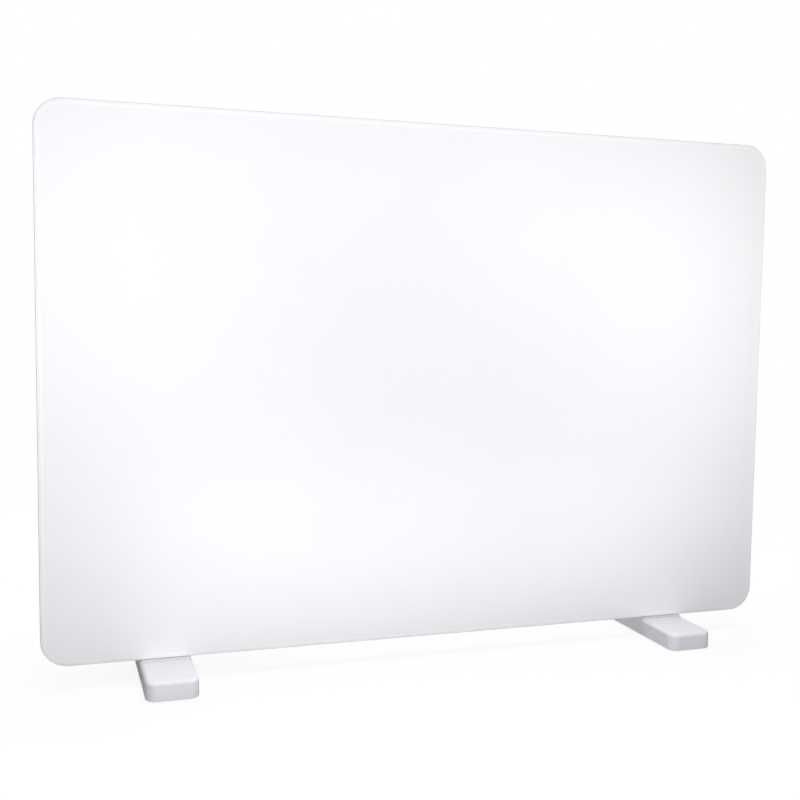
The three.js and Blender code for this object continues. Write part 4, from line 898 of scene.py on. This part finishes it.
def makeThumbscrews():
    low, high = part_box(thumbscrewNodes[0])
    radius, tall, shank = thumb["radius"], thumb["height"], thumb["shank"]
    dished = rim(radius, 0, thumb["lowerRim"]) + rim(radius, tall, thumb["upperRim"])
    piece = turnProfile("thumb", dished, thumb["fluteCount"] * fluteSteps)
    addFlutes(piece, thumb["fluteCount"], thumb["fluteDepth"] / radius, -tall)
    length = high.y - tall - low.y
    post = [(shank / 2, -length), (shank, shank / 2 - length), (shank, thumb["shankSink"])]
    joinTo(piece, [turnProfile("shank", post, thumb["shankSides"])])
    moveTo(piece, (0, 0, 0), turnTo[yAxis])
    finishFasteners(piece, thumbscrewNodes, yAxis, tall, "dark_plastic", "thumbscrew", "thumb_knob")


makeCoverScrews()
makeFootScrews()
makeThumbscrews()
print("fasteners made")


# Control box cover, with its vents and openings

cover = {
    "wall": 2 * mm,
    "corner": (6 * mm, 10),
    "innerSteps": 8,
    "edge": (3 * mm, 5),
    "softEdge": (0.2 * mm, 2),
    "vent": (2.4 * mm, 18 * mm),
    "ventEnd": (1.176 * mm, 6),
    "ventPitch": 7 * mm,
    "ventCount": 8,
    "lowerVentCount": 6,
    "lowerVentOffset": 22 * mm,
    "counterbore": 0.8 * mm,
    "counterboreRadius": 3.2 * mm,
    "screwHole": 1.8 * mm,
    "bushingHole": 4.8 * mm,
    "rocker": (13 * mm, 19 * mm),
    "inlet": (27 * mm, 19.6 * mm),
}


def ventSlots(count, middleX, middleY, wallZ):
    reach = 2 * cover["wall"]
    slot = addBar("slot", (0, 0, 0), cover["vent"], zAxis, -reach, reach)
    bevelEdges(slot, runsAlong(zAxis), cover["ventEnd"])
    steps = [(i - (count - 1) / 2) * cover["ventPitch"] for i in range(count)]
    return copyTo(slot, [(middleX + step, middleY, wallZ) for step in steps])


def makeCover():
    low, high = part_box("control_box_cover")
    centre, wall = (low + high) / 2, cover["wall"]
    piece = roundOff(addBlock("cover", low, high), yAxis, high.y, cover["corner"], cover["edge"])
    innerLow = (low.x + wall, low.y - overrun, low.z + wall)
    hollow = addBlock("hollow", innerLow, (high.x - wall, high.y - wall, high.z - wall))
    bevelEdges(hollow, runsAlong(yAxis), insideWall(cover["corner"], wall, cover["innerSteps"]))
    cutWith(piece, [hollow])

    start, depth = high.y - 2 * wall, 4 * wall
    rockerRoom, inletRoom = roomFor(cover["rocker"]), roomFor(cover["inlet"])
    holes = rodsAt(coverScrewNodes, yAxis, start, cover["screwHole"], depth)
    holes += rodsAt(["thermostat_nut"], yAxis, start, cover["bushingHole"], depth)
    holes += [
        addBar("opening", middle("rocker_switch_body"), rockerRoom, yAxis, start, start + depth),
        addBar("opening", middle("power_inlet"), inletRoom, zAxis, low.z - wall, low.z + 2 * wall),
    ]
    holes += ventSlots(cover["ventCount"], centre.x, centre.y, high.z)
    holes += ventSlots(cover["lowerVentCount"], centre.x - cover["lowerVentOffset"], centre.y, low.z)
    cutWith(piece, holes)
    level, radius = high.y - cover["counterbore"], cover["counterboreRadius"]
    cutWith(piece, rodsAt(coverScrewNodes, yAxis, level, radius, 2 * wall))
    softenEdges(piece, cover["softEdge"])
    finishPiece(piece, "box_cover", "heater", "box_plastic", ["control_box_cover"])


makeCover()
print("cover made")


# Thermostat knob, its pointer, and the scale on the cover

knob = {
    "height": 14 * mm,
    "skirtRadius": 18 * mm,
    "skirtRim": [(0.4, 0), (0, 0.4), (0, 1.25), (0.25, 1.875), (0.9, 2.375), (1.6, 2.5)],
    "skirtSides": 96,
    "gripRadius": 14.5 * mm,
    "gripStart": 1.25 * mm,
    "gripRim": [(0, -1.4), (0.15, -0.8), (0.5, -0.3), (1.2, 0), (2.2, 0), (2.6, -0.25)],
    "fluteCount": 16,
    "fluteDepth": 0.7 * mm,
    "wall": 2 * mm,
    "face": 3 * mm,
    "hollowSides": 64,
    "bossRadius": 5.5 * mm,
    "bossSides": 48,
    "bossFloat": 3 * mm,
    "boreRadius": 3.3 * mm,
    "boreDepth": 12.5 * mm,
    "restAngle": 135,  # from straight up, turned back to the start of the scale
}

pointer = {
    "width": 2 * mm,
    "start": 2.5 * mm,
    "end": 12.4 * mm,
    "rise": 0.8 * mm,
    "sink": 0.35 * mm,
    "corner": (0.9 * mm, 6),
    "softEdge": (0.15 * mm, 2),
}

dial = {
    "numberRadius": 23.6 * mm,
    "numberSize": 4.2 * mm,
    "tickInner": 19.2 * mm,
    "tickOuter": 20.8 * mm,
    "tickWidth": 0.6 * mm,
    "tickSoftEdge": (0.04 * mm, 1),
    "rise": 0.12 * mm,
    "sink": 0.05 * mm,
    "stepAngle": 45,
    "lastNumber": 6,
}


def makeKnob():
    at, base = middle("thermostat_knob"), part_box("thermostat_knob")[0].y
    tall, grip, flutes = knob["height"], knob["gripRadius"], knob["fluteCount"]
    piece = turnProfile("skirt", rim(knob["skirtRadius"], 0, knob["skirtRim"]), knob["skirtSides"])
    profile = [(grip, knob["gripStart"]), *rim(grip, tall, knob["gripRim"])]
    crown = turnProfile("grip", profile, flutes * fluteSteps)
    addFlutes(crown, flutes, knob["fluteDepth"] / grip, 0)
    joinTo(piece, [crown])

    radius, top = grip - knob["fluteDepth"] - knob["wall"], tall - knob["face"]
    hollow = addRod("hollow", (0, 0, -overrun), zAxis, radius, top + overrun, knob["hollowSides"])
    cutWith(piece, [hollow])
    start = knob["bossFloat"]
    rise = top - start + overlap
    boss = addRod("boss", (0, 0, start), zAxis, knob["bossRadius"], rise, knob["bossSides"])
    joinTo(piece, [boss])
    cutWith(piece, [addRod("bore", (0, 0, 0), zAxis, knob["boreRadius"], knob["boreDepth"])])
    moveTo(piece, (at.x, base, at.z), turnTo[yAxis])
    finishPiece(piece, "dial_knob", "thermostat_dial", "dark_plastic", ["thermostat_knob"])


def makePointer():
    at, face = middle("thermostat_knob"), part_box("thermostat_knob")[1].y
    centre = (0, 0, (pointer["start"] + pointer["end"]) / 2)
    size = (pointer["width"], pointer["end"] - pointer["start"])
    bar = addBar("pointer", centre, size, yAxis, 0, pointer["rise"] + pointer["sink"])
    bevelEdges(bar, runsAlong(yAxis), pointer["corner"])
    softenEdges(bar, pointer["softEdge"])
    place = (at.x, face - pointer["rise"] - pointer["sink"], at.z)
    moveTo(bar, place, (0, math.radians(knob["restAngle"]), 0))
    finishPiece(bar, "dial_pointer", "thermostat_dial", "box_plastic", (), ["markWhite"])


def dialPlace(number, radius, y):  # seen from behind, the scale runs clockwise from the lower left
    angle = math.radians(number * dial["stepAngle"] - knob["restAngle"])
    at = middle("thermostat_knob")
    return (at.x - radius * math.sin(angle), y, at.z + radius * math.cos(angle)), angle


def addNumber(number):
    deselect()
    bpy.ops.object.text_add()
    figure = bpy.context.object
    figure.data.body = str(number)
    figure.data.size = dial["numberSize"]
    figure.data.align_x = "CENTER"
    figure.data.align_y = "CENTER"
    figure.data.extrude = (dial["rise"] + dial["sink"]) / 2
    only(figure)
    bpy.ops.object.convert(target="MESH")
    return figure


def makeDialMarks():
    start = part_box("control_box_cover")[1].y - dial["sink"]
    size = (dial["tickWidth"], dial["tickOuter"] - dial["tickInner"])
    tick = addBar("tick", (0, 0, 0), size, yAxis, 0, dial["rise"] + dial["sink"])
    softenEdges(tick, dial["tickSoftEdge"])
    tickRadius = (dial["tickOuter"] + dial["tickInner"]) / 2
    for number in range(dial["lastNumber"] + 1):
        figure = addNumber(number)
        place, angle = dialPlace(number, dial["numberRadius"], start + figure.dimensions.z / 2)
        moveTo(figure, place, (math.pi / 2, 0, math.pi))
        finishPiece(figure, f"dial_number_{number}", "heater", "dark_plastic", (), ["markGrey"])

        place, angle = dialPlace(number, tickRadius, start)
        line = copyPiece(tick, place, (0, -angle, 0))
        finishPiece(line, f"dial_tick_{number}", "heater", "dark_plastic", (), ["markGrey"])
    bpy.data.objects.remove(tick, do_unlink=True)


makeKnob()
makePointer()
makeDialMarks()
print("knob and scale made")


# Rocker switch: its bezel and body, and the dished key with its two marks

rocker = {
    "body": (13 * mm, 19 * mm),
    "bezelThickness": 2 * mm,
    "bezelCorner": (1.5 * mm, 6),
    "bezelEdge": (0.5 * mm, 3),
    "softEdge": (0.15 * mm, 2),
    "well": (10.6 * mm, 17.8 * mm),
    "wellDepth": 7.5 * mm,
    "tab": (4.8 * mm, 0.8 * mm),
    "tabLength": 6 * mm,
    "tabSpacing": 5 * mm,
    "pivotRadius": 1 * mm,
    "pivotReach": 0.8 * mm,
    "pivotSides": 24,
    "pivotAboveCover": 0.5 * mm,
}

key = {
    "width": 10 * mm,
    "height": 16 * mm,
    "rise": 3.2 * mm,
    "drop": 2.2 * mm,
    "dish": 1.6 * mm,
    "rows": 12,
    "softEdge": (0.35 * mm, 3),
    "softAngle": 60,
    "tilt": 10,
    "markShare": 0.29,
    "markRise": 0.12 * mm,
    "markSink": 0.2 * mm,
    "line": (0.8 * mm, 3.8 * mm),
    "lineSoftEdge": (0.05 * mm, 1),
    "ring": (1.5 * mm, 0.36 * mm),
    "ringSteps": (40, 12),
    "ringFlatness": 0.6,
}


def keyPivot():
    at = middle("rocker_switch_body")
    return Vector((at.x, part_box("control_box_cover")[1].y + rocker["pivotAboveCover"], at.z))


def makeRockerBody():
    low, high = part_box("rocker_switch_body")
    at, thickness = middle("rocker_switch_body"), rocker["bezelThickness"]
    piece = addBlock("bezel", (low.x, high.y - thickness, low.z), high)
    roundOff(piece, yAxis, high.y, rocker["bezelCorner"], rocker["bezelEdge"])
    bodyFront = low.y + rocker["tabLength"]
    body = addBar("body", at, rocker["body"], yAxis, bodyFront, high.y - thickness / 2)
    joinTo(piece, [body])
    tab = addBar("tab", at, rocker["tab"], yAxis, low.y, bodyFront + overlap)
    tabs = copyTo(tab, [(0, 0, way * rocker["tabSpacing"]) for way in [-1, 1]])
    joinTo(piece, tabs)
    floor = high.y - rocker["wellDepth"]
    cutWith(piece, [addBar("well", at, rocker["well"], yAxis, floor, high.y + overrun)])
    reach, radius = key["width"] / 2 + rocker["pivotReach"] + runGap, rocker["pivotRadius"] + runGap
    start = keyPivot() - Vector((reach, 0, 0))
    cutWith(piece, [addRod("pivot", start, xAxis, radius, 2 * reach, rocker["pivotSides"])])
    softenEdges(piece, rocker["softEdge"])
    finishPiece(piece, "rocker_bezel", "heater", "dark_plastic", ["rocker_switch_body"])


def dishDepth(z):  # how far the key's face lies below its ends
    return key["dish"] * (1 - (2 * z / key["height"]) ** 2)


def placeOnKey(piece):
    return moveTo(piece, keyPivot(), (math.radians(-key["tilt"]), 0, 0))


def makeRockerKey():
    size, rows = (key["width"], key["height"]), key["rows"]
    piece = addBar("key", (0, 0, 0), size, yAxis, -key["drop"], key["rise"])
    pick(piece, runsAlong(zAxis), "EDGE")
    bpy.ops.mesh.subdivide(number_cuts=rows - 1)
    done()
    for i in range(1, rows):
        z = (i / rows - 0.5) * key["height"]
        pick(piece, lambda corner: abs(corner.co.z - z) < closeBy and corner.co.y > 0, "VERT")
        bpy.ops.transform.translate(value=(0, -dishDepth(z), 0))
        done()
    softenEdges(piece, key["softEdge"], key["softAngle"])
    reach, radius = key["width"] / 2 + rocker["pivotReach"], rocker["pivotRadius"]
    pivots = addRod("pivots", (-reach, 0, 0), xAxis, radius, 2 * reach, rocker["pivotSides"])
    joinTo(piece, [pivots])
    placeOnKey(piece)
    finishPiece(piece, "switch_key", "switch_rocker", "dark_plastic", ["rocker_key"])


def makeKeyMarks():
    z = key["height"] * key["markShare"]
    slope = math.atan(key["dish"] * 8 * z / key["height"] ** 2)  # of the dish, there
    level = key["rise"] - dishDepth(z)
    line = addBar("line", (0, 0, 0), key["line"], yAxis, -key["markSink"], key["markRise"])
    softenEdges(line, key["lineSoftEdge"])
    deselect()
    (radius, thickness), (around, across) = key["ring"], key["ringSteps"]
    bpy.ops.mesh.primitive_torus_add(
        major_radius=radius, minor_radius=thickness, major_segments=around, minor_segments=across
    )
    ring = bpy.context.object
    ring.scale = (1, 1, key["ringFlatness"])
    moveTo(ring, (0, 0, 0), (-math.pi / 2, 0, 0))
    for mark, way, name in [(line, 1, "key_mark_on"), (ring, -1, "key_mark_off")]:
        placeOnKey(moveTo(mark, (0, level, way * z), (-way * slope, 0, 0)))
        finishPiece(mark, name, "switch_rocker", "box_plastic", (), ["markWhite"])


makeRockerBody()
makeRockerKey()
makeKeyMarks()
print("switch made")


# Power inlet, its mouth facing down

inlet = {
    "flangeThickness": 2.5 * mm,
    "flangeCorner": (2 * mm, 8),
    "flangeEdge": (0.5 * mm, 3),
    "body": (27 * mm, 19.6 * mm),
    "bodyCorner": (1 * mm, 4),
    "bodySink": 1 * mm,
    "recess": (24.2 * mm, 16.6 * mm),
    "recessDepth": 17 * mm,
    "recessCorner": (1 * mm, 4),
    "recessChamfer": (4.5 * mm, 1),
    "pinSlot": (2.6 * mm, 4.6 * mm),
    "softEdge": (0.2 * mm, 2),
}


def makeInlet():
    low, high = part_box("power_inlet")
    at = middle("power_inlet")
    seat, floor = low.z + inlet["flangeThickness"], low.z + inlet["recessDepth"]
    piece = addBlock("flange", low, (high.x, high.y, seat))
    roundOff(piece, zAxis, low.z, inlet["flangeCorner"], inlet["flangeEdge"])
    body = addBar("body", at, inlet["body"], zAxis, seat - inlet["bodySink"], high.z)
    bevelEdges(body, runsAlong(zAxis), inlet["bodyCorner"])
    joinTo(piece, [body])
    recess = addBar("recess", at, inlet["recess"], zAxis, low.z - overrun, floor)
    halfDepth = inlet["recess"][1] / 2
    bevelEdges(recess, edgesAt(zAxis, yAxis, at.y - halfDepth), inlet["recessCorner"])
    bevelEdges(recess, edgesAt(zAxis, yAxis, at.y + halfDepth), inlet["recessChamfer"])
    cutWith(piece, [recess])
    slot = addBar("slot", (0, 0, 0), inlet["pinSlot"], zAxis, floor - overrun, high.z + overrun)
    cutWith(piece, copyTo(slot, placesOf(["live_pin", "neutral_pin", "earth_pin"], zAxis)))
    softenEdges(piece, inlet["softEdge"])
    finishPiece(piece, "inlet_socket", "heater", "dark_plastic", ["power_inlet"])


makeInlet()
print("inlet made")


# Feet: shell, pads and bracket, made for the left foot and copied to the right

foot = {
    "corner": (8 * mm, 14),
    "topEdge": (3 * mm, 7),
    "bottomEdge": (0.8 * mm, 3),
    "wall": 3 * mm,
    "cavitySteps": 8,
    "cavityEdge": (1 * mm, 3),
    "bossRadius": 5.5 * mm,
    "bossSides": 40,
    "screwHole": 2.8 * mm,
    "landInset": 0.05 * mm,  # the land is the raised strip under the glass
    "landSetback": 1.5 * mm,
    "landGap": 0.3 * mm,
}

pad = {
    "corner": (4 * mm, 8),
    "bottomEdge": (0.3 * mm, 2),
    "groove": (1.2 * mm, 0.5 * mm),
    "grooveShares": (0.25, 0.5, 0.75),
}

bracket = {
    "sheet": 2.5 * mm,
    "bend": (5 * mm, 10),
    "corner": (6 * mm, 8),
    "innerSteps": 8,
    "softEdge": (0.3 * mm, 2),
}


def finishBoth(piece, nodeEnd, nameEnd, slotName):  # the right foot's piece is a copy
    step = middle(f"right_{nodeEnd}") - middle(f"left_{nodeEnd}")
    for side, one in [("right", copyPiece(piece, step)), ("left", piece)]:
        finishPiece(one, f"{side}_{nameEnd}", "heater", slotName, [f"{side}_{nodeEnd}"])


def makeLand(low, high):  # it closes the slot between the slab and the glass
    glassLow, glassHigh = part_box("glass_panel")
    bottom, top = high.z - foot["topEdge"][0], glassLow.z - foot["landGap"]
    front, inset = glassLow.y + foot["landSetback"], foot["landInset"]
    land = addBlock("land", (low.x + inset, front, bottom), (high.x - inset, glassHigh.y, top))
    bevelEdges(land, edgesAt(yAxis, zAxis, top), foot["topEdge"])
    return land


def makeFootShells():
    low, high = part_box("left_foot_shell")
    wall, screws = foot["wall"], footScrewNodes[:2]
    piece = addBlock("shell", low, high)
    roundOff(piece, zAxis, high.z, foot["corner"], foot["topEdge"])
    bevelEdges(piece, liesAt(zAxis, low.z), foot["bottomEdge"])
    cavityTop = high.z - wall
    cavityLow = (low.x + wall, low.y + wall, low.z - overrun)
    cavity = addBlock("cavity", cavityLow, (high.x - wall, high.y - wall, cavityTop))
    corner = insideWall(foot["corner"], wall, foot["cavitySteps"])
    cutWith(piece, [roundOff(cavity, zAxis, cavityTop, corner, foot["cavityEdge"])])
    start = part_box("left_foot_plate")[1].z + seatGap
    rise = cavityTop - start + overlap
    bosses = rodsAt(screws, zAxis, start, foot["bossRadius"], rise, foot["bossSides"])
    joinTo(piece, bosses)
    cutWith(piece, rodsAt(screws, zAxis, low.z, foot["screwHole"], high.z))
    joinTo(piece, [makeLand(low, high)])
    finishBoth(piece, "foot_shell", "foot_slab", "foot_plastic")


def makePads(end):
    low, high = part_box(f"left_foot_{end}_pad")
    piece = addBlock("pad", low, high)
    roundOff(piece, zAxis, low.z, pad["corner"], pad["bottomEdge"])
    half, depth = pad["groove"][0] / 2, pad["groove"][1]
    start = (low.x - overrun, -half, low.z - overrun)
    groove = addBlock("groove", start, (high.x + overrun, half, low.z + depth))
    levels = [low.y + share * (high.y - low.y) for share in pad["grooveShares"]]
    cutWith(piece, copyTo(groove, [(0, y, 0) for y in levels]))
    finishBoth(piece, f"foot_{end}_pad", f"{end}_pad", "rubber")


def makeBrackets():
    low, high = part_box("left_foot_bracket")
    sheet = bracket["sheet"]
    piece = addBlock("bracket", low, (high.x, high.y, low.z + sheet))
    pick(piece, lambda face: True, "FACE")
    bpy.ops.mesh.bisect(plane_co=(0, low.y + sheet, 0), plane_no=(0, 1, 0))
    done()
    top = liesAt(zAxis, low.z + sheet)
    pick(piece, lambda face: top(face) and face.calc_center_median().y < low.y + sheet, "FACE")
    bpy.ops.mesh.extrude_region_move(TRANSFORM_OT_translate={"value": (0, 0, high.z - low.z - sheet)})
    done()
    outerBend = bothOf(liesAt(yAxis, low.y), liesAt(zAxis, low.z))
    innerBend = bothOf(liesAt(yAxis, low.y + sheet), liesAt(zAxis, low.z + sheet))
    bevelEdges(piece, outerBend, bracket["bend"])
    bevelEdges(piece, innerBend, insideWall(bracket["bend"], sheet, bracket["innerSteps"]))
    bevelEdges(piece, edgesAt(yAxis, zAxis, high.z), bracket["corner"])
    bevelEdges(piece, edgesAt(zAxis, yAxis, high.y), bracket["corner"])
    radius, depth = foot["screwHole"], 2 * sheet
    holes = rodsAt(footScrewNodes[:2], zAxis, low.z - overrun, radius, depth)
    holes += rodsAt(thumbscrewNodes[:2], yAxis, low.y - overrun, radius, depth)
    cutWith(piece, holes)
    softenEdges(piece, bracket["softEdge"])
    finishBoth(piece, "foot_bracket", "bracket", "powder_coat")


makeFootShells()
makePads("front")
makePads("rear")
makeBrackets()
print("feet made")


def dressNodes():  # the solids that keep their own shape get their finish
    for row in frame["record"]["subparts"]:
        for place in frame["nodes"][row["node"]].material_slots:
            place.material = looks[finishFor(row["material_slot"])]


dressNodes()
print("solids dressed")
